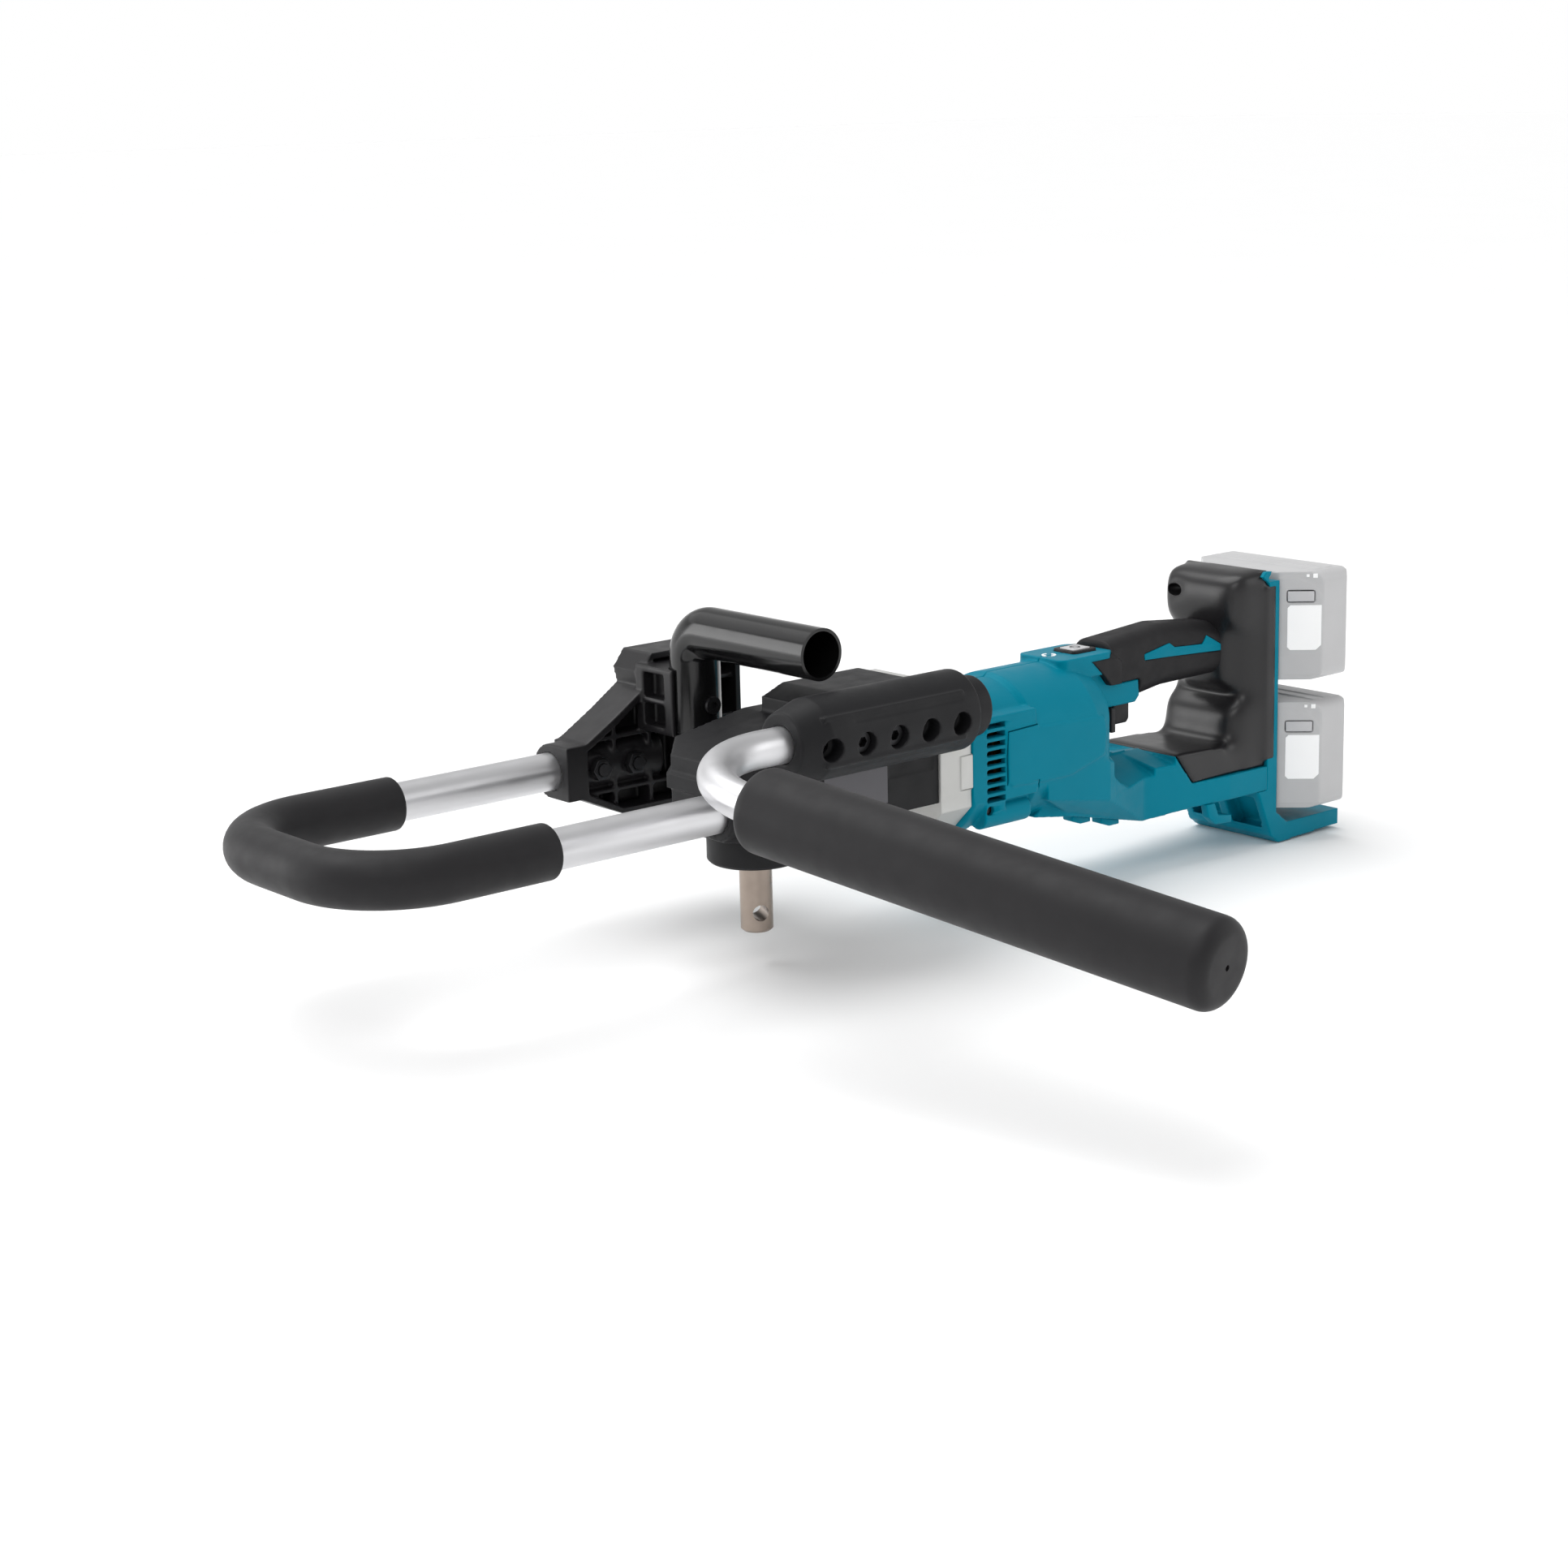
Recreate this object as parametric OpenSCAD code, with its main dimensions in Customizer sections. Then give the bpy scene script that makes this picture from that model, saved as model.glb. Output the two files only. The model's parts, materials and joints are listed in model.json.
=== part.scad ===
// Cordless earth auger, powered head: a gear head with a vertical spindle, a motor housing with a
// D-handle and two slide-on battery packs, a side handle, a loop handle and a reaction arm.
// The origin is on the spindle axis at the shoulder where an auger seats. +X points to the batteries,
// -Y to the side grip and +Z up.

/* [Spindle] */
// Diameter of the output spindle
spindle_d = 20; // [16:0.5:21]
// Length of the spindle below its shoulder
spindle_len = 44; // [36:1:60]
// Diameter of the hole for the auger's pin
pin_hole_d = 10; // [6:0.5:11]
// Height of that hole above the spindle's tip
pin_hole_up = 12.5; // [9:0.5:18]
// Turn of that hole about the spindle's axis at rest
pin_hole_turn = 23; // [0:1:90]

/* [Gear head] */
// Half width of the gear case
case_half_w = 42; // [40:0.5:46]
// Reach of the gear case in front of the spindle
case_front = 48; // [46:0.5:54]
// Height of the gear case's underside
case_bottom = 22; // [20:0.5:23]
// Place of the joint between the gear case and the rear casting
case_rear = 113; // [111:0.5:116]
// Height of the raised top
cap_top = 99.5; // [97:0.5:106]
// Outer diameter of the nose collar
collar_d = 58.6; // [52:0.2:62]
// Width across the flats of the rear casting
casting_w = 88; // [84:0.5:90]

/* [Gears] */
// Height of the motor axis
motor_z = 38; // [37:0.5:39]
// Teeth of the rotor pinion
rotor_teeth = 12; // [12:1:12]
// Teeth of the spur gear
spur_teeth = 30; // [30:1:30]
// Tooth size of the spur pair
spur_module = 1; // [0.9:0.02:1.04]
// Teeth of the bevel pinion
bevel_pinion_teeth = 10; // [10:1:10]
// Teeth of the bevel gear
bevel_gear_teeth = 32; // [32:1:32]
// Tooth size of the bevel pair at its outer end
bevel_module = 1.5; // [1.4:0.02:1.54]

/* [Motor housing] */
// Radius of the motor barrel
barrel_r = 49; // [47:0.5:51]
// Half width between the flattened sides of the barrel
barrel_half_w = 45; // [43.5:0.5:46.5]
// Rear face of the barrel
barrel_rear = 268; // [262:0.5:270]
// Wall of the housing
housing_wall = 4; // [3:0.25:5]
// Number of vent slots on each side
vent_count = 9; // [5:1:9]

/* [D-handle] */
// Height of the middle of the hand grip
grip_z = 76; // [74:0.5:79]
// Height of the hand grip
grip_h = 40; // [36:0.5:42]
// Width of the hand grip
grip_w = 33; // [30:0.5:36]
// Travel of the trigger
trigger_travel = 6; // [3:0.5:7]

/* [Battery mount] */
// Half width of the battery mount
mount_half_w = 38; // [36:0.5:41]
// Rear face of the battery mount
mount_rear = 434; // [432:0.5:440]
// Height of the top of the battery mount
mount_top = 128; // [124:0.5:134]
// Height of the foot's underside
foot_bottom = -64.5; // [-70:0.5:-60]
// Rear end of the foot
foot_rear = 500; // [494:0.5:510]

/* [Battery packs] */
// Length of a pack
pack_len = 112; // [106:0.5:116]
// Height of a pack
pack_h = 75; // [70:0.5:77]
// Distance of a pack's rear face behind the mount
pack_depth = 52; // [48:0.5:58]
// Height of the middle of the upper pack
pack_upper_z = 87.5; // [86.5:0.5:89]
// Distance between the middles of the packs
pack_pitch = 90.5; // [89:0.5:91.5]

/* [Loop handle] */
// Diameter of the loop's tube
loop_d = 24; // [20:0.5:25]
// Wall of the loop's tube
loop_wall = 2; // [1:0.25:3]
// Side position of the near leg
loop_near_y = -20; // [-22:0.5:-19]
// Distance between the legs
loop_span = 160; // [156:1:166]
// Height of the loop
loop_z = 40; // [39:0.5:41]
// Reach of the loop's middle line in front of the spindle
loop_reach = 287; // [260:1:320]
// Bend radius of the loop's middle line
loop_bend_r = 58; // [40:1:70]
// Outer diameter of the foam sleeve
foam_d = 33; // [29:0.5:38]
// Reach of the foam's ends in front of the spindle
foam_reach = 166; // [140:1:190]

/* [Side handle] */
// Radius of the holder
holder_r = 25; // [23:0.5:26]
// Distance of the holder's axis from the gear case's near face
holder_out = 18; // [17:0.5:20]
// Height of the holder's axis
holder_z = 84.5; // [83:0.5:86]
// Tilt of the side handle below the horizontal, about the holder's axis
handle_tilt = 7; // [0:0.5:10]
// Diameter of the side handle's tube
side_tube_d = 22; // [19:0.5:23]
// Wall of the side handle's tube
side_tube_wall = 2; // [1:0.25:3]
// Reach of the tube's straight part in front of the spindle
side_bend_x = 43.4; // [40:0.2:50]
// Bend radius of the tube's middle line
side_bend_r = 66; // [60:1:72]
// Angle by which the grip is swept back from square
side_sweep = 9; // [0:0.5:12]
// Outer diameter of the side grip
side_grip_d = 48.4; // [40:0.2:52]
// Length of the side grip
side_grip_len = 301; // [260:1:330]
// Diameter of the counterbored holes in the holder
holder_hole_d = 14; // [13:0.5:15]
// Distance between those holes
holder_hole_pitch = 25.3; // [24:0.1:26]

/* [Reaction arm] */
// Outer diameter of the reaction tube
arm_tube_d = 32; // [28:0.5:33]
// Wall of the reaction tube
arm_tube_wall = 2; // [1:0.25:3]
// Place of the reaction tube along the machine
arm_tube_x = 28.4; // [27:0.2:30]
// Height of its level leg
arm_tube_z = 126; // [124:0.5:130]
// Side position of its upright leg
arm_tube_y = 89.5; // [87:0.5:92]
// Side position of its open end
arm_tube_end = -32.4; // [-36:0.2:-26]
// Thickness of the bracket's web and ribs
rib_t = 4; // [3:0.25:5]

/* [Hidden] */
$fn = 64;

// Longer than any piece, for cuts that go right through
reach = 2 * foot_rear;

// Clearances
fit = 0.03;
seat_gap = 0.05;
slide_gap = 0.4;
skin_gap = 0.2;

// Gear train
spur_centres = spur_module * (rotor_teeth + spur_teeth) / 2;
pinion_z = motor_z + spur_centres;
bevel_gear_r = bevel_module * bevel_gear_teeth / 2;
bevel_pinion_r = bevel_module * bevel_pinion_teeth / 2;
cone_len = sqrt(bevel_gear_r * bevel_gear_r + bevel_pinion_r * bevel_pinion_r);
gear_angle = atan(bevel_gear_teeth / bevel_pinion_teeth);
addendum_angle = atan(bevel_module / cone_len);
dedendum_angle = atan(1.25 * bevel_module / cone_len);
bevel_face = 8;
gear_base = 12;
gear_back = 3;
gear_seat_z = pinion_z - gear_base - gear_back;
spur_x = 84;
spur_w = 14;
spur_shaft_end = spur_x + spur_w + 2;

// Spindle and its bearings
spindle_r = spindle_d / 2;
seal_r = 13;
seal_seat_r = 19;
lower_bearing_r = 21;
lower_bearing_w = 12;
lower_journal_r = 12.5;
upper_bearing_r = 13;
upper_bearing_w = 8;
upper_journal_r = 8;
gear_bore_r = 11;
lower_bearing_z = case_bottom - 8;
shoulder_z = lower_bearing_z + lower_bearing_w;
upper_bearing_z = pinion_z + 3;
bevel_room_r = bevel_gear_r + 3.5;

// Pinion shaft
pinion_bearing_r = 13;
pinion_bearing_w = 10;
pinion_journal_r = 6;
pinion_bearing_x = [bevel_gear_r + 6, bevel_gear_r + 27];
spur_room_x = pinion_bearing_x[1] + pinion_bearing_w;
spur_room_half = 19;

// Gear case outline
nose_half = 18;
nose_corner_x = -26;
nose_top = 70;
shoulder_top = 83.5;
cap_front = 28;
cap_far_y = 24;
cap_chamfer = [16.6, 6.5];
cap_rear_drop = 7;
band_z = 50;
band_h = 9;
band_proud = 2;
socket_r = loop_d / 2 + 5;
socket_depth = 16;
socket_x = -case_front + 2;

// Rear casting and motor
casting_len = 26;
casting_chamfer = 21.5;
case_screw_y = 30;
case_screw_z = [-8, 18];
flange_x = case_rear + casting_len;
rotor_journal_r = 5;
rotor_bearing_r = 11;
rotor_bearing_w = 8;
rotor_bearing_x = [flange_x - 10, 222];
fan_x = flange_x + 5;
fan_w = 12;
fan_r = 36;
motor_x = 168;
motor_len = 40;
rotor_r = 18.8;
stator_gap = 0.7;
stator_r = 36;

// Housing
flange_w = 13;
flange_r = barrel_r + 1;
front_barrel_r = barrel_r - 2.5;
step_x = 195;
barrel_corner = 12;
vent_x = flange_x + 13;
vent_w = 15;
vent_pitch = 5.9;
vent_h = 3.2;
panel_proud = 1.2;
side_panel_points = [
    [169, 58.5], [195.5, 59.5], [step_x + 0.5, 57.5], [256, 54.8],
    [258, 44], [256, 30], [225, 21.5], [200, 21.5], [173, 23], [169, 26]
];
side_box_z = [15, 70];
boss_y = 36;
boss_z = 5;
boss_r = 8;
screw_seat = 22;
screw_tip = 16;
screw_spots = [[160, 2], [215.5, 2], [215.5, 76], [296, -8], [412, -16]];

// Top panel and button
top_panel_z = motor_z + barrel_r + 2.5;
top_panel_low = motor_z + barrel_r - 12;
top_panel_x = [242, 290];
top_panel_half = 21;
button_frame_x = 264;
button_frame_len = 22;
button_frame_half = 10;
button_travel = 0.8;

// Trigger area
guard_x = 319;
neck_x = 292;
guard_z = [51, 66];
guard_half = 17;
trigger_x = [302, 317];
trigger_half = 9.5;
trigger_low = 36;
trigger_top = guard_z[0] + 6;
lever_x = 292;
lever_t = 4;
lever_z = [34, guard_z[0] - slide_gap];
lever_pin = 2;
lever_half = 19;
switch_x = [296, 318];
switch_half = 10;
switch_top = 71;
switch_low = trigger_top + trigger_travel + slide_gap;
spring_r = 2.6;
spring_top = switch_top - 2;

// Hand grip
grip_rear = 408;
core_r = 12;
grip_round = 12;
grip_slices = [
    [barrel_rear + 3, grip_z - 6, grip_h + 4, grip_w + 7], [304, grip_z - 3, grip_h + 4, grip_w + 4],
    [347, grip_z + 1.5, grip_h + 2.5, grip_w], [grip_rear, grip_z - 1, grip_h - 5, grip_w + 4]
];
insert_points = [
    [323.5, 78], [323, 82], [348.4, 86], [353.5, 82.5], [379.7, 81], [384.2, 86.4], [406, 74], [366, 75.8]
];

// Battery mount
shell_front = 392;
plate_front = mount_rear - 10;
mount_bottom = -25;
shell_corner = 14;
saddle_top = 40;
shell_over_grip = 12;
shell_recess = [22, 15, 5];
rail_y = [-28, 30];
rail_neck = [6, 22];
rail_head = [4, 26];
pack_lower_z = pack_upper_z - pack_pitch;
pack_x = mount_rear + 3;
pack_rear = mount_rear + pack_depth;
pack_near = -pack_len / 2;
pack_slant = 22;
label_x = -9;
label_w = 23;
label_h = 31;
label_t = 0.6;
release_w = 18;
release_h = 7;
release_z = 17;
release_travel = 4;

// Lower arm
cover_z = -8;
arm_points = [
    [205, -6], [240, -11], [308, -27], [352, mount_bottom], [plate_front, mount_bottom],
    [plate_front, cover_z],
    [352, cover_z], [336, 13.5], [300, 16], [262, 34], [240, 20]
];
cover_points = [
    [336.5, 13.5], [352.3, cover_z + skin_gap], [plate_front, cover_z + skin_gap], [plate_front, 14],
    [384, 12], [344, 14]
];
arm_half = 31;
arm_ridge_z = 13.6;
arm_root_low = [[240, -11], [308, -27], [308, 11], [262, 33]];
arm_root_wide = [[205, 8], [262, -2], [262, 24], [205, 24]];
finger_x = [barrel_rear + skin_gap, 318, 336.4];
finger_slope = [20, 11];
arm_room_x = [322, 404];
arm_room_half = 24;
arm_room_z = [-21, -11];

// Loop handle
loop_r = loop_d / 2;
loop_far_y = loop_near_y + loop_span;
loop_bend_x = -loop_reach + loop_bend_r;
near_end_x = socket_x + socket_depth;
far_end_x = 22;

// Side handle
side_r = side_tube_d / 2;
holder_y = -case_half_w - holder_out;
holder_x = [-27, 110.5];
holder_neck_r = 19;
holder_neck_end = 125.5;
holder_holes = 5;
holder_hole_x = -7.4;
bolt_holes = [1, 2];
bolt_r = 4;
bolt_head_r = 6;
bolt_head_h = 6;
hex_socket_r = 3.4;
side_turn = 90 + side_sweep;
side_tube_rear = 104;
grip_cap = 12;

// Reaction bracket
bracket_near = 121;
bracket_far = 151;
web_y = 138;
clamp_r = 17.5;
clamp_x = -50;
clamp_len = 12;
tube_boss_r = loop_r + 4.5;
bracket_head_y = loop_far_y + tube_boss_r + 0.5;
bracket_nut_y = bracket_near + 3.5;
nut_r = 7.5;
nut_h = 6;
saddle_half = 19;
saddle_z = [60, 102];
arm_leg_end = 62;
arm_bend_r = 18;
carrier_x = [40, 86];
carrier_z = [20, 50];
bracket_bolt_x = [-24, 3];
reaction_bolt_z = 80;
bracket_front = clamp_x + clamp_len;
bracket_points = [
    [bracket_front, 22], [-7, 8], [90, 8], [90, 100], [75, 108], [18.5, 108],
    [10, 97], [12.5, 87], [-12, 71], [-34, 58], [bracket_front, 57.5]
];
bracket_inner = [
    [bracket_front + 4, 25.5], [-6.5, 12], [86, 12], [86, 98], [73, 104], [20.5, 104],
    [14.5, 97], [17, 84.5], [-9, 67], [-32, 53.5], [bracket_front + 4, 53.5]
];

// Colours
black = [0.10, 0.10, 0.11];
rubber = [0.16, 0.15, 0.16];
teal = [0.0, 0.46, 0.55];
metal = [0.72, 0.72, 0.72];
steel = [0.55, 0.51, 0.48];
cast = [0.76, 0.76, 0.74];
copper = [0.72, 0.42, 0.20];
ghost = [0.80, 0.80, 0.80, 0.6];

// Rods and rings along the three axes
module rod_x(r, x0, x1) {
    translate([x0, 0, 0])
        rotate([0, 90, 0])
            cylinder(r = r, h = x1 - x0);
}

module rod_y(r, y0, y1) {
    translate([0, y1, 0])
        rotate([90, 0, 0])
            cylinder(r = r, h = y1 - y0);
}

module ring_x(r_out, r_in, x0, x1) {
    difference() {
        rod_x(r_out, x0, x1);
        rod_x(r_in, x0 - 1, x1 + 1);
    }
}

// A box given by its two corners
module span_box(low, high) {
    translate(low)
        cube(high - low);
}

// A flat outline in the XZ plane, given a thickness from y0 to y1
module side_plate(points, y0, y1) {
    translate([0, y1, 0])
        rotate([90, 0, 0])
            linear_extrude(height = y1 - y0)
                polygon(points);
}

// A rectangle with round corners, made of plain shapes
module round_rect(w, h, r) {
    square([w, h - 2 * r], center = true);
    square([w - 2 * r, h], center = true);
    for (x = [-1, 1], y = [-1, 1])
        translate([x * (w / 2 - r), y * (h / 2 - r)])
            circle(r = r);
}

// A square of half width h with its corners cut by c
module chamfered_square(h, c) {
    polygon([
        [h, h - c], [h - c, h], [c - h, h], [-h, h - c],
        [-h, c - h], [c - h, -h], [h - c, -h], [h, c - h]
    ]);
}

// A box with four round upright edges
module round_block(w, l, h, r) {
    linear_extrude(height = h)
        round_rect(w, l, r);
}

// A ball bearing: two races with a shield between them
module bearing(r_in, r_out, w) {
    shield = 0.8;
    race = (r_out - r_in) / 4;
    rotate_extrude()
        polygon([
            [r_in, 0], [r_in + race, 0], [r_in + race, shield], [r_out - race, shield], [r_out - race, 0],
            [r_out, 0], [r_out, w], [r_out - race, w], [r_out - race, w - shield],
            [r_in + race, w - shield], [r_in + race, w], [r_in, w]
        ]);
}

// A cap screw along Z with its head's top at z = 0 and a hex socket in it
module cap_screw(r, head_r, head_h, len, socket_r) {
    difference() {
        union() {
            translate([0, 0, -head_h])
                cylinder(r = head_r, h = head_h);
            translate([0, 0, -head_h - len])
                cylinder(r = r, h = len + 0.5);
        }
        translate([0, 0, -head_h * 0.6])
            cylinder(r = socket_r, h = head_h, $fn = 6);
    }
}

function polar(r, a) = [r * cos(a), r * sin(a)];

// Outline of a gear; the first tooth's middle lies at the angle start
module gear_outline(teeth, radii, half_angles, start) {
    polygon([
        for (i = [0:teeth - 1])
            let (a = start + i * 360 / teeth)
                for (k = [[0, -1], [1, -1], [2, -1], [2, 1], [1, 1], [0, 1]])
                    polar(radii[k[0]], a + k[1] * half_angles[k[0]])
    ]);
}

// Half angles of a tooth at its root, pitch circle and tip
function tooth_angles(teeth) = [128 / teeth, 81 / teeth, 36 / teeth];

module spur_profile(teeth, start) {
    r = spur_module * teeth / 2;
    gear_outline(teeth, [r - 1.25 * spur_module, r, r + 0.95 * spur_module], tooth_angles(teeth), start);
}

// Gear head

module case_body() {
    intersection() {
        translate([0, 0, case_bottom])
            linear_extrude(height = cap_top)
                polygon([
                    [-case_front, -nose_half], [nose_corner_x, -case_half_w], [case_rear, -case_half_w],
                    [case_rear, case_half_w], [nose_corner_x, case_half_w], [-case_front, nose_half]
                ]);
        side_plate([
            [-case_front, case_bottom + 6], [-case_front + 6, case_bottom], [case_rear, case_bottom],
            [case_rear, shoulder_top], [cap_front, shoulder_top], [-case_front, nose_top]
        ], -case_half_w - 1, case_half_w + 1);
    }
    side_plate([
        [cap_front, shoulder_top - 4], [cap_front, cap_top - cap_chamfer[1]],
        [cap_front + cap_chamfer[0], cap_top], [case_rear - cap_rear_drop, cap_top],
        [case_rear, cap_top - cap_rear_drop], [case_rear, shoulder_top - 4]
    ], -case_half_w, cap_far_y);
    translate([0, 0, band_z])
        linear_extrude(height = band_h)
            polygon([
                [-case_front - band_proud, -nose_half], [nose_corner_x, -case_half_w],
                [nose_corner_x, case_half_w + band_proud],
                [-case_front - band_proud, nose_half + band_proud]
            ]);
    translate([0, loop_near_y, loop_z])
        rod_x(socket_r, socket_x, nose_corner_x);
}

module case_screw_places() {
    for (y = [-1, 1], z = case_screw_z)
        translate([case_rear, y * case_screw_y, motor_z + z])
            rotate([0, 90, 0])
                children();
}

module gear_case() {
    roof_z = pinion_z + 11;
    color(black)
    difference() {
        union() {
            difference() {
                case_body();
                translate([0, 0, gear_seat_z - 2])
                    cylinder(r = bevel_room_r, h = roof_z - gear_seat_z + 2);
            }
            translate([0, 0, upper_bearing_z])
                cylinder(r = upper_bearing_r + 2.5, h = roof_z - upper_bearing_z + 0.5);
        }
        translate([0, 0, case_bottom - 1])
            cylinder(r = lower_bearing_r + fit, h = shoulder_z - case_bottom + 1);
        translate([0, 0, case_bottom])
            cylinder(r = lower_journal_r + 3.5, h = gear_seat_z - case_bottom);
        translate([0, 0, upper_bearing_z - 1])
            cylinder(r = upper_bearing_r + fit, h = upper_bearing_w + 1);
        translate([0, 0, pinion_z])
            rod_x(pinion_bearing_r + fit, bevel_room_r - 4, spur_room_x + 1);
        span_box([spur_room_x, -spur_room_half, motor_z - 10],
                 [case_rear + 1, spur_room_half, cap_top - 8]);
        translate([0, loop_near_y, loop_z])
            rod_x(loop_r + seat_gap, socket_x - 5, near_end_x);
        translate([0, 0, loop_z])
            loop_screw_place()
                translate([0, 0, -1])
                    cylinder(r = bolt_r, h = loop_z - case_bottom);
        case_screw_places()
            translate([0, 0, -16])
                cylinder(r = 2.5, h = 17);
        carrier_screw_places()
            rod_y(3, case_half_w - 18, case_half_w + 1);
    }
}

module loop_screw_place() {
    translate([socket_x + socket_depth / 2, loop_near_y, case_bottom - loop_z])
        children();
}

module loop_screw() {
    len = loop_z - loop_r - case_bottom + 1;
    color(steel)
    translate([0, 0, loop_z])
        loop_screw_place()
            translate([0, 0, 1])
                difference() {
                    cylinder(r = bolt_r - seat_gap, h = len);
                    translate([0, 0, -1])
                        cylinder(r = 2.2, h = 4, $fn = 6);
                }
}

module rear_casting() {
    top_half = 24;
    top_z = cap_top - 3;
    plate = 8;
    color(cast)
    difference() {
        union() {
            translate([case_rear, 0, motor_z])
                rotate([90, 0, 90])
                    linear_extrude(height = casting_len)
                        chamfered_square(casting_w / 2, casting_chamfer);
            span_box([case_rear, -top_half, motor_z], [case_rear + plate, top_half, top_z]);
        }
        translate([0, 0, motor_z]) {
            rod_x(rotor_bearing_r - 2, case_rear - 1, flange_x + 1);
            rod_x(rotor_bearing_r + fit, rotor_bearing_x[0], rotor_bearing_x[0] + rotor_bearing_w);
            rod_x(fan_r + 4, rotor_bearing_x[0] + rotor_bearing_w, flange_x + 1);
        }
        case_screw_places()
            translate([0, 0, -1])
                cylinder(r = 2.7, h = casting_len + 2);
    }
}

module case_screws() {
    head_h = 4;
    color(steel)
    case_screw_places()
        translate([0, 0, casting_len + head_h - 2])
            cap_screw(2.45, 4.5, head_h, casting_len + 10, 2.2);
}

module nose_collar() {
    lip = 3;
    color(black)
    rotate_extrude()
        polygon([
            [seal_r + 0.4, 0], [collar_d / 2 - 2, 0], [collar_d / 2, 2], [collar_d / 2, case_bottom],
            [lower_bearing_r + fit, case_bottom], [lower_bearing_r + fit, lower_bearing_z],
            [seal_seat_r, lower_bearing_z], [seal_seat_r, lip], [seal_r + 0.4, lip]
        ]);
}

module oil_seal() {
    color(rubber)
    translate([0, 0, 3])
        rotate_extrude()
            polygon([
                [seal_r + seat_gap, 3], [seal_r + 2, 0], [seal_seat_r - fit, 0], [seal_seat_r - fit, 7],
                [seal_r + 2, 7], [seal_r + seat_gap, 4]
            ]);
}

module spindle_bearings() {
    color(metal) {
        translate([0, 0, lower_bearing_z])
            bearing(lower_journal_r + fit, lower_bearing_r, lower_bearing_w);
        translate([0, 0, upper_bearing_z])
            bearing(upper_journal_r + fit, upper_bearing_r, upper_bearing_w);
    }
}

module spindle() {
    tip = 1.5;
    collar_z = gear_seat_z + gear_back + 6;
    color(steel)
    difference() {
        rotate_extrude()
            polygon([
                [0, -spindle_len], [spindle_r - tip, -spindle_len], [spindle_r, -spindle_len + tip],
                [spindle_r, 0], [seal_r, 0], [seal_r, lower_bearing_z], [lower_journal_r, lower_bearing_z],
                [lower_journal_r, shoulder_z], [lower_journal_r + 1.8, shoulder_z],
                [lower_journal_r + 1.8, gear_seat_z], [gear_bore_r, gear_seat_z], [gear_bore_r, collar_z],
                [upper_journal_r + 1.5, collar_z], [upper_journal_r + 1.5, upper_bearing_z],
                [upper_journal_r, upper_bearing_z], [upper_journal_r, upper_bearing_z + upper_bearing_w],
                [0, upper_bearing_z + upper_bearing_w]
            ]);
        translate([0, 0, pin_hole_up - spindle_len])
            rotate([90, 0, -pin_hole_turn])
                cylinder(r = pin_hole_d / 2, h = 4 * spindle_r, center = true);
    }
}

module bevel_gear() {
    tip_r = gear_base * tan(gear_angle + addendum_angle);
    mid_r = gear_base * tan(gear_angle);
    root_r = gear_base * tan(gear_angle - dedendum_angle);
    flat = 0.3;
    color(steel)
    difference() {
        union() {
            intersection() {
                translate([0, 0, pinion_z - gear_base])
                    linear_extrude(height = gear_base * (1 - flat), scale = flat)
                        gear_outline(
                            bevel_gear_teeth, [root_r, mid_r, tip_r], tooth_angles(bevel_gear_teeth),
                            180 / bevel_gear_teeth
                        );
                translate([0, 0, pinion_z - gear_base])
                    cylinder(r = bevel_gear_r + 1, h = gear_base);
            }
            translate([0, 0, gear_seat_z])
                cylinder(r = bevel_gear_r + 1, h = gear_back + 0.5);
        }
        translate([0, 0, gear_seat_z - 1])
            cylinder(r = gear_bore_r + fit, h = gear_base + gear_back + 2);
        translate([0, 0, gear_seat_z + gear_back + 6])
            cylinder(r = bevel_gear_r - bevel_face, h = gear_base);
    }
}

module bevel_pinion() {
    base_x = bevel_gear_r + 1.5;
    tip_x = bevel_gear_r - bevel_face + 1.5;
    pinion_angle = 90 - gear_angle;
    color(steel)
    translate([0, 0, pinion_z]) {
        translate([base_x, 0, 0])
            rotate([0, -90, 0])
                linear_extrude(height = base_x - tip_x, scale = tip_x / base_x)
                    gear_outline(
                        bevel_pinion_teeth,
                        [
                            base_x * tan(pinion_angle - dedendum_angle), base_x * tan(pinion_angle),
                            base_x * tan(pinion_angle + addendum_angle)
                        ],
                        tooth_angles(bevel_pinion_teeth), 0
                    );
        rod_x(pinion_journal_r + 2, base_x, pinion_bearing_x[0]);
        rod_x(pinion_journal_r, pinion_bearing_x[0], spur_shaft_end);
    }
}

module pinion_bearings() {
    color(metal)
    for (x = pinion_bearing_x)
        translate([x, 0, pinion_z])
            rotate([0, 90, 0])
                bearing(pinion_journal_r + fit, pinion_bearing_r, pinion_bearing_w);
}

module bearing_spacer() {
    color(metal)
    translate([0, 0, pinion_z])
        ring_x(
            pinion_bearing_r - seat_gap, pinion_bearing_r - 3, pinion_bearing_x[0] + pinion_bearing_w,
            pinion_bearing_x[1]
        );
}

module spur_gear() {
    hub_x = spur_room_x + 2;
    color(steel)
    translate([0, 0, pinion_z])
        difference() {
            union() {
                translate([spur_x, 0, 0])
                    rotate([0, 90, 0])
                        linear_extrude(height = spur_w)
                            spur_profile(spur_teeth, 180 / spur_teeth);
                rod_x(pinion_journal_r + 4, hub_x, spur_x + 1);
            }
            rod_x(pinion_journal_r + fit, hub_x - 1, spur_shaft_end + 1);
        }
}

// Motor

module rotor_shaft() {
    rear = rotor_bearing_x[1] + rotor_bearing_w;
    color(steel)
    translate([0, 0, motor_z]) {
        translate([spur_x + 1, 0, 0])
            rotate([0, 90, 0])
                linear_extrude(height = spur_w + 3)
                    spur_profile(rotor_teeth, 0);
        rod_x(rotor_journal_r - 0.5, spur_x + spur_w + 3, rotor_bearing_x[0]);
        rod_x(rotor_journal_r, rotor_bearing_x[0], rear);
    }
}

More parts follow.
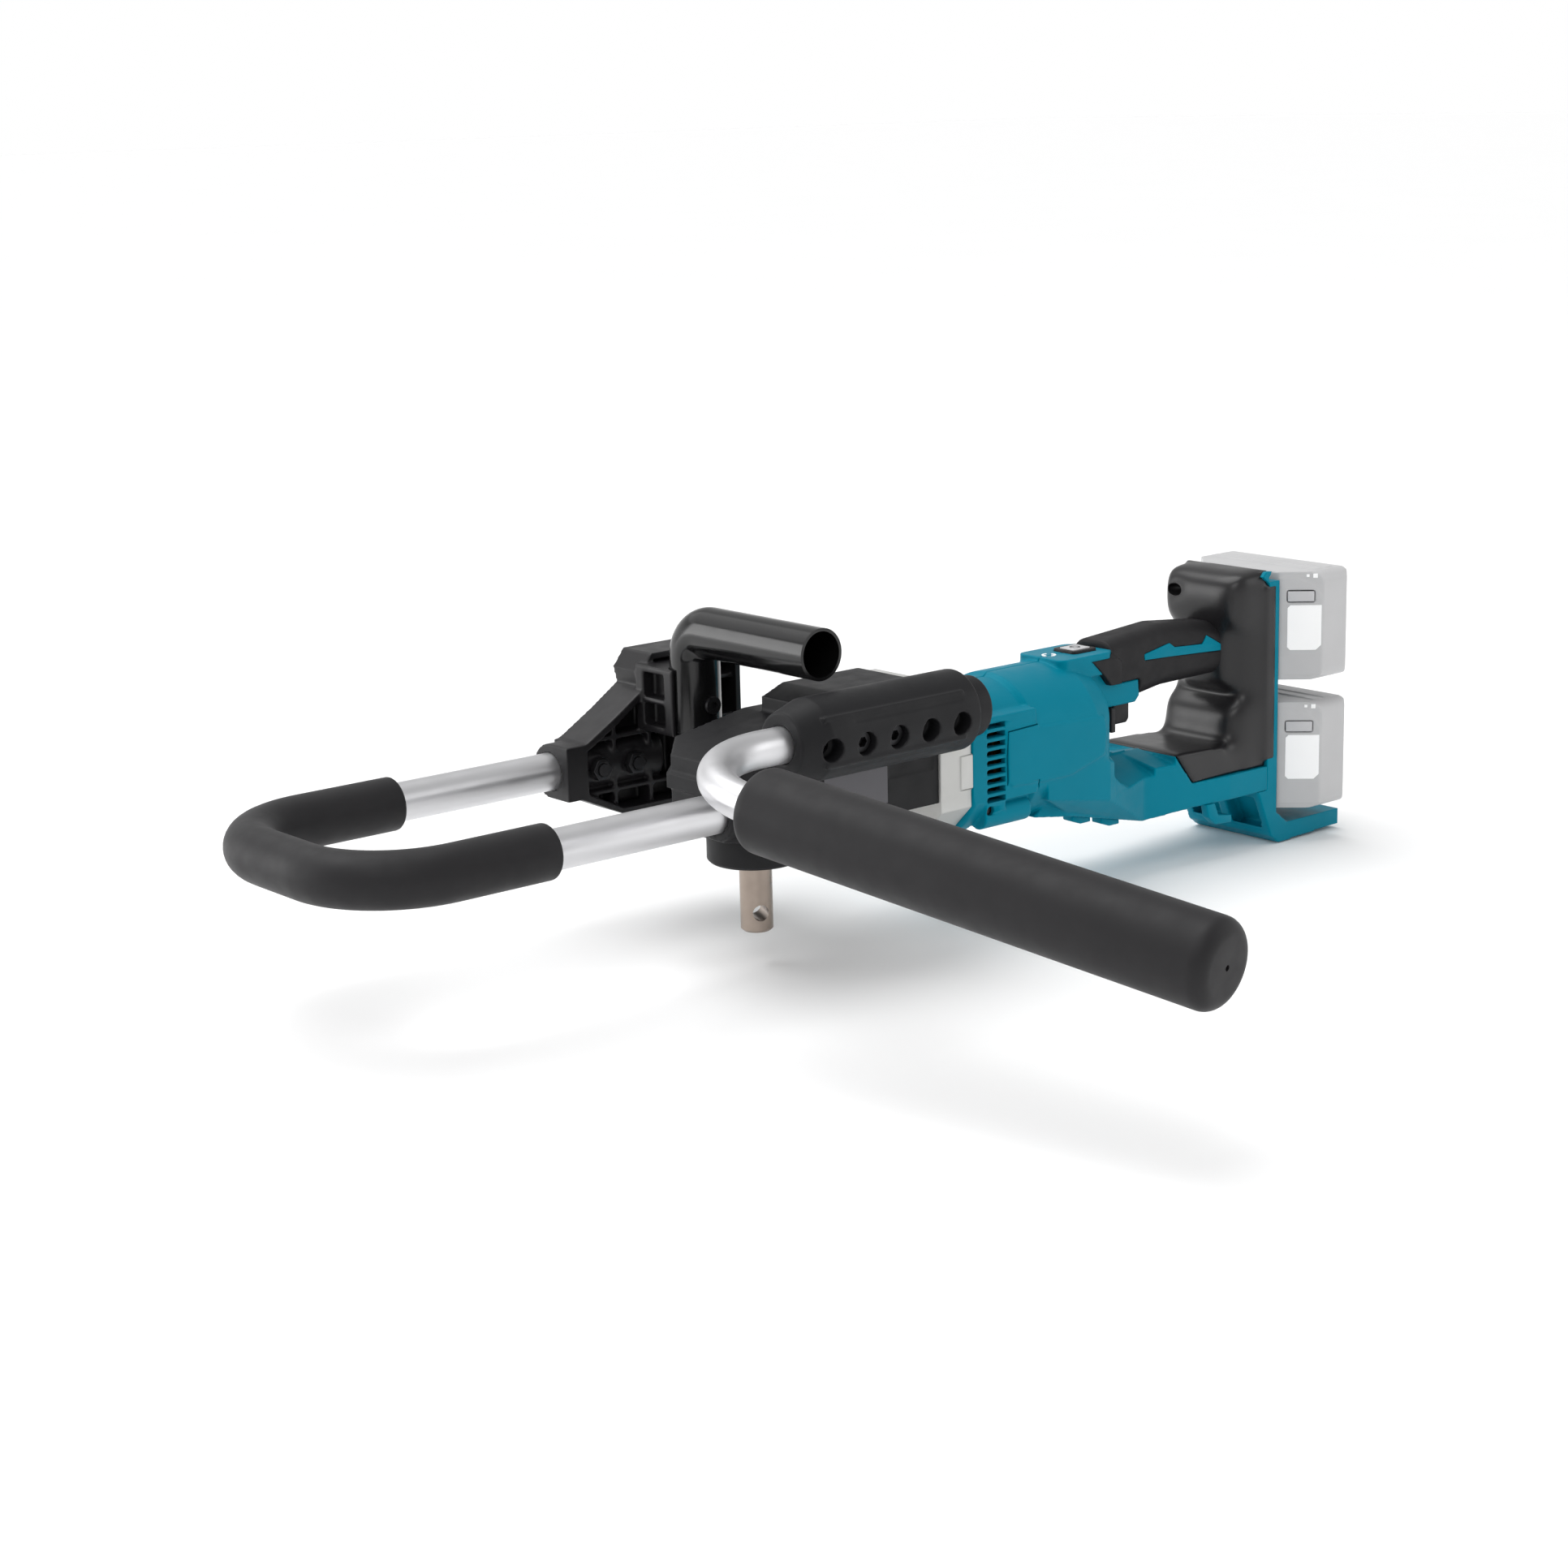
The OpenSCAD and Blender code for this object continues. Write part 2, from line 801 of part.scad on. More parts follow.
module rotor_core() {
    color(metal)
    translate([0, 0, motor_z])
        ring_x(rotor_r, rotor_journal_r + fit, motor_x, motor_x + motor_len);
}

module cooling_fan() {
    blades = 12;
    hub_r = 12;
    plate = 2;
    color(black)
    translate([fan_x, 0, motor_z])
        rotate([0, 90, 0])
            difference() {
                union() {
                    cylinder(r = hub_r, h = fan_w);
                    cylinder(r = fan_r - 1, h = plate);
                    for (i = [0:blades - 1])
                        rotate([0, 0, i * 360 / blades])
                            translate([hub_r - 1, -0.8, 0])
                                cube([fan_r - hub_r - 1, 1.6, fan_w]);
                }
                translate([0, 0, -1])
                    cylinder(r = rotor_journal_r + fit, h = fan_w + 2);
            }
}

module rotor_bearings() {
    color(metal)
    translate([0, 0, motor_z])
        for (x = rotor_bearing_x)
            translate([x, 0, 0])
                rotate([0, 90, 0])
                    bearing(rotor_journal_r + fit, rotor_bearing_r, rotor_bearing_w);
}

module stator() {
    slots = 6;
    color(copper)
    translate([0, 0, motor_z])
        difference() {
            ring_x(stator_r, rotor_r + stator_gap, motor_x - 2, motor_x + motor_len + 2);
            for (i = [0:slots - 1])
                rotate([60 * i + 30, 0, 0])
                    translate([motor_x - 3, -3, 0])
                        cube([motor_len + 6, 6, stator_r - 6]);
        }
}

// Housing

module barrel_outer() {
    intersection() {
        translate([0, 0, motor_z])
            rotate([0, 90, 0])
                rotate_extrude()
                    polygon([
                        [0, flange_x], [flange_r - 2, flange_x], [flange_r, flange_x + 2],
                        [flange_r, flange_x + flange_w - 1.5], [flange_r - 1.5, flange_x + flange_w],
                        [front_barrel_r, flange_x + flange_w], [front_barrel_r, step_x - 3],
                        [barrel_r, step_x],
                        [barrel_r, barrel_rear - 18], [barrel_r - 6, barrel_rear], [0, barrel_rear]
                    ]);
        translate([0, 0, motor_z - 2 * barrel_r])
            linear_extrude(height = 4 * barrel_r) {
                translate([flange_x, -barrel_half_w])
                    square([barrel_rear - barrel_corner - flange_x, 2 * barrel_half_w]);
                translate([flange_x, barrel_corner - barrel_half_w])
                    square([barrel_rear - flange_x, 2 * (barrel_half_w - barrel_corner)]);
                for (y = [-1, 1])
                    translate([barrel_rear - barrel_corner, y * (barrel_half_w - barrel_corner)])
                        circle(r = barrel_corner);
            }
    }
}

module barrel_inner() {
    wall_x = flange_x + 2;
    intersection() {
        translate([0, 0, motor_z])
            union() {
                rod_x(fan_r + 4, flange_x - 1, flange_x + flange_w + 10);
                rod_x(front_barrel_r - housing_wall, wall_x + flange_w + 6, barrel_rear - 6);
            }
        span_box(
            [flange_x - 2, -barrel_half_w + housing_wall, motor_z - barrel_r],
            [barrel_rear - housing_wall, barrel_half_w - housing_wall, motor_z + barrel_r]
        );
    }
}

// Rings inside the barrel that hold the stator and the rear bearing
module barrel_ribs() {
    rib = 4;
    room = front_barrel_r - housing_wall + 1;
    translate([0, 0, motor_z]) {
        for (x = [motor_x + 4, motor_x + motor_len - 4 - rib])
            ring_x(room, stator_r + seat_gap, x, x + rib);
        ring_x(room, rotor_bearing_r + fit, rotor_bearing_x[1], rotor_bearing_x[1] + rotor_bearing_w);
    }
}

module lower_arm() {
    intersection() {
        side_plate(arm_points, -mount_half_w, mount_half_w);
        translate([0, 0, mount_bottom - 20])
            linear_extrude(height = 120)
                polygon([
                    [190, -30], [240, -34], [310, -31], [386, -mount_half_w], [plate_front, -mount_half_w],
                    [plate_front, mount_half_w], [386, mount_half_w], [310, 31], [240, 34], [190, 30]
                ]);
    }
}

// Root of the arm, which runs out of the sides of the barrel
module arm_root() {
    hull() {
        side_plate(arm_root_low, -arm_half, arm_half);
        side_plate(arm_root_wide, -barrel_half_w, barrel_half_w);
    }
}

// Room for the fingers: the arm's top falls away from a ridge to both sides
module finger_room() {
    for (side = [0, 1], i = [0, 1])
        mirror([0, side, 0])
            translate([finger_x[i], 0, arm_ridge_z])
                rotate([finger_slope[i], 0, 0])
                    translate([0, -2 * arm_half, 0])
                        cube([finger_x[i + 1] - finger_x[i], 2 * arm_half, 24]);
}

// Neck behind the barrel and the block above the trigger
module guard_block() {
    x0 = barrel_rear - 6;
    side_plate([
        [x0, guard_z[0]], [guard_x - 4, guard_z[0]], [guard_x, guard_z[0] + 4], [guard_x - 1, guard_z[1]],
        [neck_x, guard_z[1]], [neck_x, top_panel_z], [x0, top_panel_z]
    ], -guard_half, guard_half);
}

module top_panel() {
    len = top_panel_x[1] - top_panel_x[0];
    translate([top_panel_x[0] + len / 2, 0, top_panel_low])
        round_block(len, 2 * top_panel_half, top_panel_z - top_panel_low, 6);
}

module handle_core() {
    translate([0, 0, grip_z])
        rod_x(core_r, neck_x - 2, grip_rear);
}

// Raised flat panel on the side of the barrel, with a tongue to the front
module side_panel() {
    y0 = barrel_half_w - 2;
    y1 = barrel_half_w + panel_proud;
    side_plate(side_panel_points, y0, y1);
}

// Flat box on the side of the front barrel, and the screw boss below it
module front_side() {
    x0 = flange_x + flange_w - 1;
    span_box([x0, 0, side_box_z[0]], [step_x, barrel_half_w, side_box_z[1]]);
    translate([0, boss_y, boss_z])
        rod_x(boss_r, x0, step_x - 4);
}

module vent_slots() {
    for (i = [0:vent_count - 1])
        translate([vent_x, 0, motor_z + vent_pitch * (i - (vent_count - 1) / 2) - 5])
            span_box([0, barrel_half_w - 20, 0], [vent_w, barrel_r + 2, vent_h]);
}

// Both housing halves before they are split along the middle
module housing_body() {
    difference() {
        union() {
            difference() {
                union() {
                    barrel_outer();
                    difference() {
                        union() {
                            lower_arm();
                            arm_root();
                        }
                        finger_room();
                    }
                    guard_block();
                    top_panel();
                    for (side = [0, 1])
                        mirror([0, side, 0]) {
                            side_panel();
                            front_side();
                        }
                }
                barrel_inner();
            }
            intersection() {
                barrel_ribs();
                barrel_outer();
            }
            handle_core();
        }
        vent_slots();
        mirror([0, 1, 0])
            vent_slots();
        trigger_room();
        translate([0, 0, lever_z[0]])
            lever_room();
        panel_recess();
        arm_room();
        screw_places()
            rod_y(2.6, -screw_tip - 1, barrel_r + 5);
        screw_places()
            rod_y(4.4, screw_seat, barrel_r + 5);
        casting_room();
    }
}

// Space for the rear casting in front of the barrel
module casting_room() {
    span_box([case_rear - 5, -reach, -reach], [flange_x, reach, reach]);
}

module trigger_room() {
    gap = slide_gap;
    span_box(
        [trigger_x[0] - gap, -trigger_half - gap, guard_z[0] - 1],
        [trigger_x[1] + gap, trigger_half + gap, trigger_top + trigger_travel + 1]
    );
    span_box([switch_x[0] - skin_gap, -switch_half - skin_gap, switch_low - skin_gap],
             [switch_x[1] + skin_gap, switch_half + skin_gap, switch_top + skin_gap]);
}

// Slot for the reversing lever's pin
module lever_room() {
    translate([lever_x, 0, -1])
        cylinder(r = lever_pin + fit, h = lever_z[1] - lever_z[0] + 4);
}

module panel_recess() {
    len = button_frame_len;
    translate([button_frame_x + len / 2, 0, top_panel_z - 5])
        round_block(len, 2 * button_frame_half, 6, 2.5);
}

// Hollow of the lower arm, where the controller sits
module arm_room() {
    span_box([arm_room_x[0], -arm_room_half, arm_room_z[0]], [arm_room_x[1], arm_room_half, arm_room_z[1]]);
}

module screw_places() {
    for (p = screw_spots)
        translate([p[0], 0, p[1]])
            children();
}

module housing_left() {
    color(teal)
    difference() {
        housing_body();
        span_box([-reach, 0, -reach], [reach, reach, reach]);
    }
}

module housing_right() {
    color(teal)
    difference() {
        housing_body();
        span_box([-reach, -reach, -reach], [reach, 0, reach]);
    }
}

module housing_screws() {
    head_h = 3;
    color(steel)
    screw_places()
        translate([0, screw_seat + head_h, 0])
            rotate([-90, 0, 0])
                cap_screw(2.55, 4.2, head_h, screw_seat + screw_tip, 2);
}

module control_panel() {
    len = button_frame_len;
    wall = 3;
    color(black)
    difference() {
        translate([button_frame_x + len / 2, 0, top_panel_z - 5])
            round_block(len - 2 * seat_gap, 2 * (button_frame_half - seat_gap), 6.6, 2.5);
        translate([button_frame_x + len / 2, 0, top_panel_z - 2.4])
            round_block(len - 2 * wall, 2 * (button_frame_half - wall), 6, 1);
    }
}

module power_button() {
    wall = 3 + slide_gap;
    len = button_frame_len;
    color([0.6, 0.6, 0.6])
    translate([button_frame_x + len / 2, 0, top_panel_z - 2.4 + button_travel + 0.3])
        round_block(len - 2 * wall, 2 * (button_frame_half - wall), 3.4, 0.8);
}

// D-handle

// Outer form of the hand grip, thinner in the middle
module grip_form() {
    thin = 0.01;
    for (i = [0:len(grip_slices) - 2])
        hull()
            for (s = [grip_slices[i], grip_slices[i + 1]])
                translate([s[0], 0, s[1]])
                    rotate([0, 90, 0])
                        linear_extrude(height = thin)
                            round_rect(s[2], s[3], grip_round, $fn = 32);
}

module handle_grip() {
    color(rubber)
    difference() {
        grip_form();
        translate([0, 0, grip_z])
            rod_x(core_r + seat_gap, barrel_rear, grip_rear + 10);
        grip_room();
        insert_plates();
    }
}

// Room in the grip for the neck, the trigger guard and the slanted edge of the barrel
module grip_room() {
    w = guard_half + skin_gap;
    span_box([barrel_rear - 10, -w, guard_z[0] - 10], [guard_x + skin_gap, w, guard_z[1] + skin_gap]);
    span_box([barrel_rear - 10, -w, guard_z[0]], [neck_x + skin_gap, w, top_panel_z + 20]);
    span_box([switch_x[0] - skin_gap, -switch_half - skin_gap, guard_z[1]],
             [switch_x[1] + skin_gap, switch_half + skin_gap, switch_top + skin_gap]);
    span_box([button_frame_x, -top_panel_half - 5, top_panel_low - skin_gap],
             [top_panel_x[1] + skin_gap, top_panel_half + 5, top_panel_z + 20]);
    side_plate([
        [barrel_rear - 10, top_panel_z], [barrel_rear + 4, top_panel_z], [neck_x - 2, guard_z[1] - 3],
        [neck_x - 2, guard_z[0] - 20], [barrel_rear - 10, guard_z[0] - 20]
    ], -reach, reach);
}

// Two plates at the sides of the grip, outside the core
module insert_plates() {
    depth = grip_w / 2 - 1.6;
    side_plate(insert_points, -grip_w, -depth);
    side_plate(insert_points, depth, grip_w);
}

module handle_inserts() {
    color(teal)
    intersection() {
        grip_form();
        insert_plates();
    }
}

module trigger() {
    color(black)
    side_plate([
        [trigger_x[0], trigger_low + 4], [trigger_x[0] + 2, trigger_low], [trigger_x[1] - 2, trigger_low],
        [trigger_x[1], trigger_low + 3], [trigger_x[1], trigger_top], [trigger_x[0], trigger_top]
    ], -trigger_half, trigger_half);
}

module spring_place() {
    translate([(trigger_x[0] + trigger_x[1]) / 2, 0, trigger_top])
        children();
}

module trigger_spring() {
    len = spring_top - trigger_top;
    color(steel)
    spring_place()
        difference() {
            cylinder(r = spring_r, h = len);
            translate([0, 0, -1])
                cylinder(r = spring_r - 0.8, h = len + 2);
        }
}

module switch_module() {
    color(black)
    difference() {
        span_box([switch_x[0], -switch_half, switch_low], [switch_x[1], switch_half, switch_top]);
        spring_place()
            cylinder(r = spring_r + slide_gap, h = spring_top - trigger_top);
    }
}

module reversing_lever() {
    color(black)
    translate([lever_x, 0, lever_z[0]])
        union() {
            translate([-lever_t / 2, -lever_half, 0])
                cube([lever_t, 2 * lever_half, lever_z[1] - lever_z[0]]);
            cylinder(r = lever_pin, h = lever_z[1] - lever_z[0] + 2);
        }
}

module controller() {
    color([0.25, 0.25, 0.27])
    span_box([arm_room_x[0] + 4, -arm_room_half + 4, arm_room_z[0]],
             [arm_room_x[1] - 8, arm_room_half - 4, arm_room_z[1] - 1]);
}

// Battery mount

// A flat outline with round corners in front and a straight rear edge
module front_rounded(x0, x1, low, high, r) {
    translate([x0 + r, low])
        square([x1 - x0 - r, high - low]);
    translate([x0, low + r])
        square([x1 - x0, high - low - 2 * r]);
    for (v = [low + r, high - r])
        translate([x0 + r, v])
            circle(r = r);
}

// Bulge of the shell between two heights, rounded to the front
module shell_bulge(z0, z1) {
    w = mount_half_w - 2;
    intersection() {
        translate([0, 0, z0])
            linear_extrude(height = z1 - z0)
                front_rounded(shell_front, plate_front, -w, w, shell_corner);
        translate([0, w + 1, 0])
            rotate([90, 0, 0])
                linear_extrude(height = 2 * w + 2)
                    front_rounded(shell_front, plate_front, z0, z1, shell_corner);
    }
}

module battery_shell() {
    waist = 16;
    color(black)
    difference() {
        union() {
            shell_bulge(grip_z + shell_over_grip, mount_top);
            shell_bulge(cover_z, saddle_top);
            span_box([plate_front - waist, -mount_half_w + 4, saddle_top / 2],
                     [plate_front, mount_half_w - 4, grip_z + 30]);
            side_plate(cover_points, -mount_half_w + 3, mount_half_w - 3);
        }
        span_box([plate_front, -reach, -reach], [reach, reach, reach]);
        span_box([-reach, -reach, -reach], [reach, reach, cover_z + skin_gap]);
        grip_hollow();
        translate([shell_front - 2, shell_recess[0], mount_top - shell_recess[1]])
            rotate([0, 90, 0])
                cylinder(r = shell_recess[2], h = 10);
    }
}

// The hand grip ends against the shell's waist
module grip_hollow() {
    w = grip_w / 2 + 5;
    span_box([grip_rear - 60, -w, grip_z - grip_h / 2 - 6],
             [grip_rear + skin_gap, w, grip_z + grip_h / 2 + 2]);
}

module battery_mount() {
    color(teal) {
        difference() {
            union() {
                span_box([plate_front, -mount_half_w, mount_bottom],
                         [mount_rear, mount_half_w, mount_top - 8]);
                side_plate([
                    [plate_front - 9, mount_bottom], [mount_rear, mount_bottom], [mount_rear, -41.5],
                    [mount_rear + 12, -51],
                    [foot_rear, -51], [foot_rear, foot_bottom + 2.5], [mount_rear + 3, foot_bottom],
                    [mount_rear - 5, foot_bottom + 6]
                ], -mount_half_w, mount_half_w);
            }
            for (y = [-1, 1])
                translate([0, y * 18, 0])
                    side_plate([
                        [plate_front - 12, mount_bottom - 5], [mount_rear - 8, mount_bottom - 5],
                        [mount_rear + 4, -52], [mount_rear - 4, -57]
                    ], -14, 14);
        }
        for (z = [pack_upper_z, pack_lower_z])
            rail(z);
    }
}

module rail(z) {
    span_box([mount_rear - 1, rail_y[0], z - rail_neck[1]],
             [mount_rear + rail_neck[0] + 0.5, rail_y[1], z + rail_neck[1]]);
    span_box([mount_rear + rail_neck[0], rail_y[0], z - rail_head[1]],
             [mount_rear + rail_neck[0] + rail_head[0], rail_y[1], z + rail_head[1]]);
}

module wrench_holder() {
    color(teal)
    side_plate([
        [364, mount_bottom], [372, mount_bottom], [376, -34], [389, -36], [389, -41], [373, -40], [366, -34]
    ], -mount_half_w + 1, -mount_half_w + 7);
}

// Height of the arm's underside in front of its lowest point
function arm_low(x) = -11 - (x - 240) * 16 / 68;

// Small hooks under the housing
module belly_hooks() {
    len = 17;
    drop = 7;
    color(black)
    for (x = [243, 270])
        side_plate([
            [x, arm_low(x)], [x + len, arm_low(x + len)], [x + len, arm_low(x + len) - drop + 4],
            [x + len - 5, arm_low(x + len) - drop + 4], [x + 8, arm_low(x) - drop], [x, arm_low(x) - 4]
        ], -29, -20);
}

module terminal(z) {
    head_x = mount_rear + rail_neck[0] + rail_head[0];
    color([0.2, 0.2, 0.2]) {
        span_box([head_x, -14, z - 20], [head_x + 3, 20, z + 20]);
        for (dz = [-14, 0, 14])
            span_box([head_x + 2.9, -10, z + dz - 0.8], [head_x + 10, 16, z + dz + 0.8]);
    }
}

module upper_terminal() {
    terminal(pack_upper_z);
}

module lower_terminal() {
    terminal(pack_lower_z);
}

// Outer form of a pack, with a slanted corner that carries the label and the release button
module pack_form(z) {
    corner = 8;
    intersection() {
        translate([pack_x, 0, z])
            rotate([0, 90, 0])
                round_block(pack_h, pack_len, pack_rear - pack_x, corner);
        translate([0, 0, z - pack_h])
            linear_extrude(height = 2 * pack_h)
                polygon([
                    [pack_x, pack_near + pack_slant], [pack_x + pack_slant, pack_near],
                    [pack_rear - 3, pack_near], [pack_rear, pack_near + 3], [pack_rear, -pack_near - 3],
                    [pack_rear - 3, -pack_near], [pack_x + pack_slant, -pack_near],
                    [pack_x, -pack_near - pack_slant]
                ]);
    }
}

// Middle of the slanted corner: X runs along it and Y into the pack
module pack_face(z) {
    translate([pack_x + pack_slant / 2, pack_near + pack_slant / 2, z])
        rotate([0, 0, -45])
            children();
}

module pack(z) {
    gap = slide_gap;
    slot_end = rail_y[0] - gap;
    head_x = mount_rear + rail_neck[0];
    inner_x = head_x + rail_head[0];
    color(ghost)
    difference() {
        pack_form(z);
        span_box([mount_rear - 1, slot_end, z - rail_neck[1] - gap],
                 [head_x + 1, pack_len, z + rail_neck[1] + gap]);
        span_box([head_x - gap, slot_end, z - rail_head[1] - gap],
                 [inner_x + gap, pack_len, z + rail_head[1] + gap]);
        span_box([inner_x - 1, -14 - gap, z - 20 - gap], [inner_x + 3 + gap, pack_len, z + 20 + gap]);
        for (dz = [-14, 0, 14])
            span_box([inner_x, -10 - gap, z + dz - 0.8 - gap],
                     [inner_x + 10 + gap, pack_len, z + dz + 0.8 + gap]);
        pack_face(z) {
            label_plate();
            release_block(slide_gap, -5, release_travel + 3.5);
        }
    }
}

module label_plate() {
    span_box([label_x, 0, -label_h / 2 - 1], [label_x + label_w, label_t, label_h / 2 - 1]);
}

module release_block(gap, y0, y1) {
    span_box([-release_w / 2 - gap, y0, release_z - gap],
             [release_w / 2 + gap, y1, release_z + release_h + gap]);
}

module release_button(z) {
    color([0.75, 0.75, 0.75])
    pack_face(z)
        release_block(0, -1.2, 3);
}

module upper_pack() {
    pack(pack_upper_z);
}

module lower_pack() {
    pack(pack_lower_z);
}

module upper_release() {
    release_button(pack_upper_z);
}

module lower_release() {
    release_button(pack_lower_z);
}

module upper_label() {
    color("white")
    pack_face(pack_upper_z)
        label_plate();
}

module lower_label() {
    color("white")
    pack_face(pack_lower_z)
        label_plate();
}

// Side handle

// Everything of the side handle is drawn along X and then tilted about the holder's axis
module holder_frame() {
    translate([0, holder_y, holder_z])
        rotate([handle_tilt, 0, 0])
            children();
}

module holder_hole_places(list) {
    for (i = list)
        translate([holder_hole_x + i * holder_hole_pitch, 0, 0])
            children();
}

module handle_holder() {
    chamfer = 6;
    slant = 19;
    color(black)
    difference() {
        union() {
            holder_frame()
                rotate([0, 90, 0])
                    rotate_extrude()
                        polygon([
                            [0, holder_x[0]], [holder_r - chamfer, holder_x[0]],
                            [holder_r, holder_x[0] + slant], [holder_r, holder_x[1] - 2],
                            [holder_r - 2, holder_x[1]], [holder_neck_r, holder_x[1]],
                            [holder_neck_r, holder_neck_end - 2], [holder_neck_r - 2, holder_neck_end],
                            [0, holder_neck_end]
                        ]);
            side_plate([
                [-14, holder_z - 22], [-14, nose_top], [cap_front, shoulder_top], [cap_front, 93],
                [cap_front + 12, 97], [100, 97], [100, holder_z - 22]
            ], holder_y, -case_half_w);
        }
        span_box([holder_x[0] - 1, -case_half_w, 0], [holder_neck_end + 1, 0, 2 * cap_top]);
        holder_frame() {
            rod_x(side_r + seat_gap, holder_x[0] - 1, side_tube_rear + seat_gap);
            holder_hole_places([0:holder_holes - 1]) {
                rod_y(bolt_r + 0.2, -holder_r - 5, 0);
                rod_y(holder_hole_d / 2, -holder_r - 5, -side_r - 3);
            }
            holder_hole_places(bolt_holes)
                rod_y(bolt_r - 0.3, 0, holder_r - 6);
            for (z = [-1, 1])
                translate([0, 0, z * 14])
                    span_box([10, -holder_r, -0.6], [96, -sqrt(holder_r * holder_r - 196) + 0.8, 0.6]);
        }
    }
}

module holder_bolts() {
    color(steel)
    holder_frame()
        holder_hole_places(bolt_holes)
            translate([0, -side_r - 3 - bolt_head_h, 0])
                rotate([90, 0, 0])
                    cap_screw(bolt_r - 0.35, bolt_head_r, bolt_head_h, 2 * side_r + 8, hex_socket_r);
}

// Places its children along X on the handle's outer leg, from the end of the bend
module side_leg() {
    translate([-side_bend_x, -side_bend_r, 0])
        rotate([0, 0, side_turn])
            translate([0, side_bend_r, 0])
                rotate([0, 0, 180])
                    children();
}

module side_tube() {
    in_r = side_r - side_tube_wall;
    color(metal)
    holder_frame()
        difference() {
            union() {
                ring_x(side_r, in_r, -side_bend_x, side_tube_rear);
                translate([-side_bend_x, -side_bend_r, 0])
                    rotate([0, 0, 90])
                        rotate_extrude(angle = side_turn)
                            translate([side_bend_r, 0])
                                difference() {
                                    circle(r = side_r);
                                    circle(r = in_r);
                                }
            }
            holder_hole_places([0:holder_holes - 1])
                rod_y(bolt_r + 0.2, -side_r - 1, side_r + 1);
        }
}

module grip_core() {
    color(metal)
    holder_frame()
        side_leg()
            ring_x(side_r, side_r - side_tube_wall, 0, side_grip_len - grip_cap);
}

module side_tube_plug() {
    color(black)
    holder_frame()
        rod_x(side_r - side_tube_wall - seat_gap, side_tube_rear - 10, side_tube_rear);
}

module side_grip() {
    edge = 8;
    r = side_grip_d / 2;
    color(rubber)
    holder_frame()
        side_leg()
            rotate([0, 90, 0])
                difference() {
                    rotate_extrude() {
                        difference() {
                            union() {
                                translate([0, edge])
                                    square([r, side_grip_len - 2 * edge]);
                                square([r - edge, side_grip_len]);
                                for (z = [edge, side_grip_len - edge])
                                    translate([r - edge, z])
                                        circle(r = edge);
                            }
                            translate([-r, -1])
                                square([r, side_grip_len + 2]);
                        }
                    }
                    translate([0, 0, -1])
                        cylinder(r = side_r + seat_gap, h = side_grip_len - grip_cap + 1);
                    translate([0, 0, side_grip_len - 6])
                        cylinder(r = 1.5, h = 10);
                }
}

// Loop handle

module loop_path(r_out, r_in, near_x, far_x) {
    for (leg = [[loop_near_y, near_x], [loop_far_y, far_x]])
        translate([0, leg[0], loop_z])
            ring_x(r_out, r_in, loop_bend_x, leg[1]);
    for (side = [0, 1])
        translate([loop_bend_x, side ? loop_far_y - loop_bend_r : loop_near_y + loop_bend_r, loop_z])
            rotate([0, 0, side ? 90 : 180])
                rotate_extrude(angle = 90)
                    translate([loop_bend_r, 0])
                        difference() {
                            circle(r = r_out);
                            circle(r = r_in);
                        }
    translate([-loop_reach, 0, loop_z])
        difference() {
            rod_y(r_out, loop_near_y + loop_bend_r, loop_far_y - loop_bend_r);
            rod_y(r_in, loop_near_y, loop_far_y);
        }
}

module loop_tube() {
    color(metal)
    difference() {
        loop_path(loop_r, loop_r - loop_wall, near_end_x, far_end_x);
        for (x = bracket_bolt_x)
            translate([x, 0, loop_z])
                rod_y(bolt_r, loop_far_y - loop_d, loop_far_y + loop_d);
        translate([0, 0, loop_z])
            loop_screw_place()
                cylinder(r = bolt_r, h = loop_z - case_bottom);
    }
}

module loop_foam() {
    color(rubber)
    loop_path(foam_d / 2, loop_r + seat_gap, -foam_reach, -foam_reach);
}

// Reaction arm

module carrier_screw_places() {
    for (x = [carrier_x[0] + 9, carrier_x[1] - 9])
        translate([x, 0, (carrier_z[0] + carrier_z[1]) / 2])
            children();
}

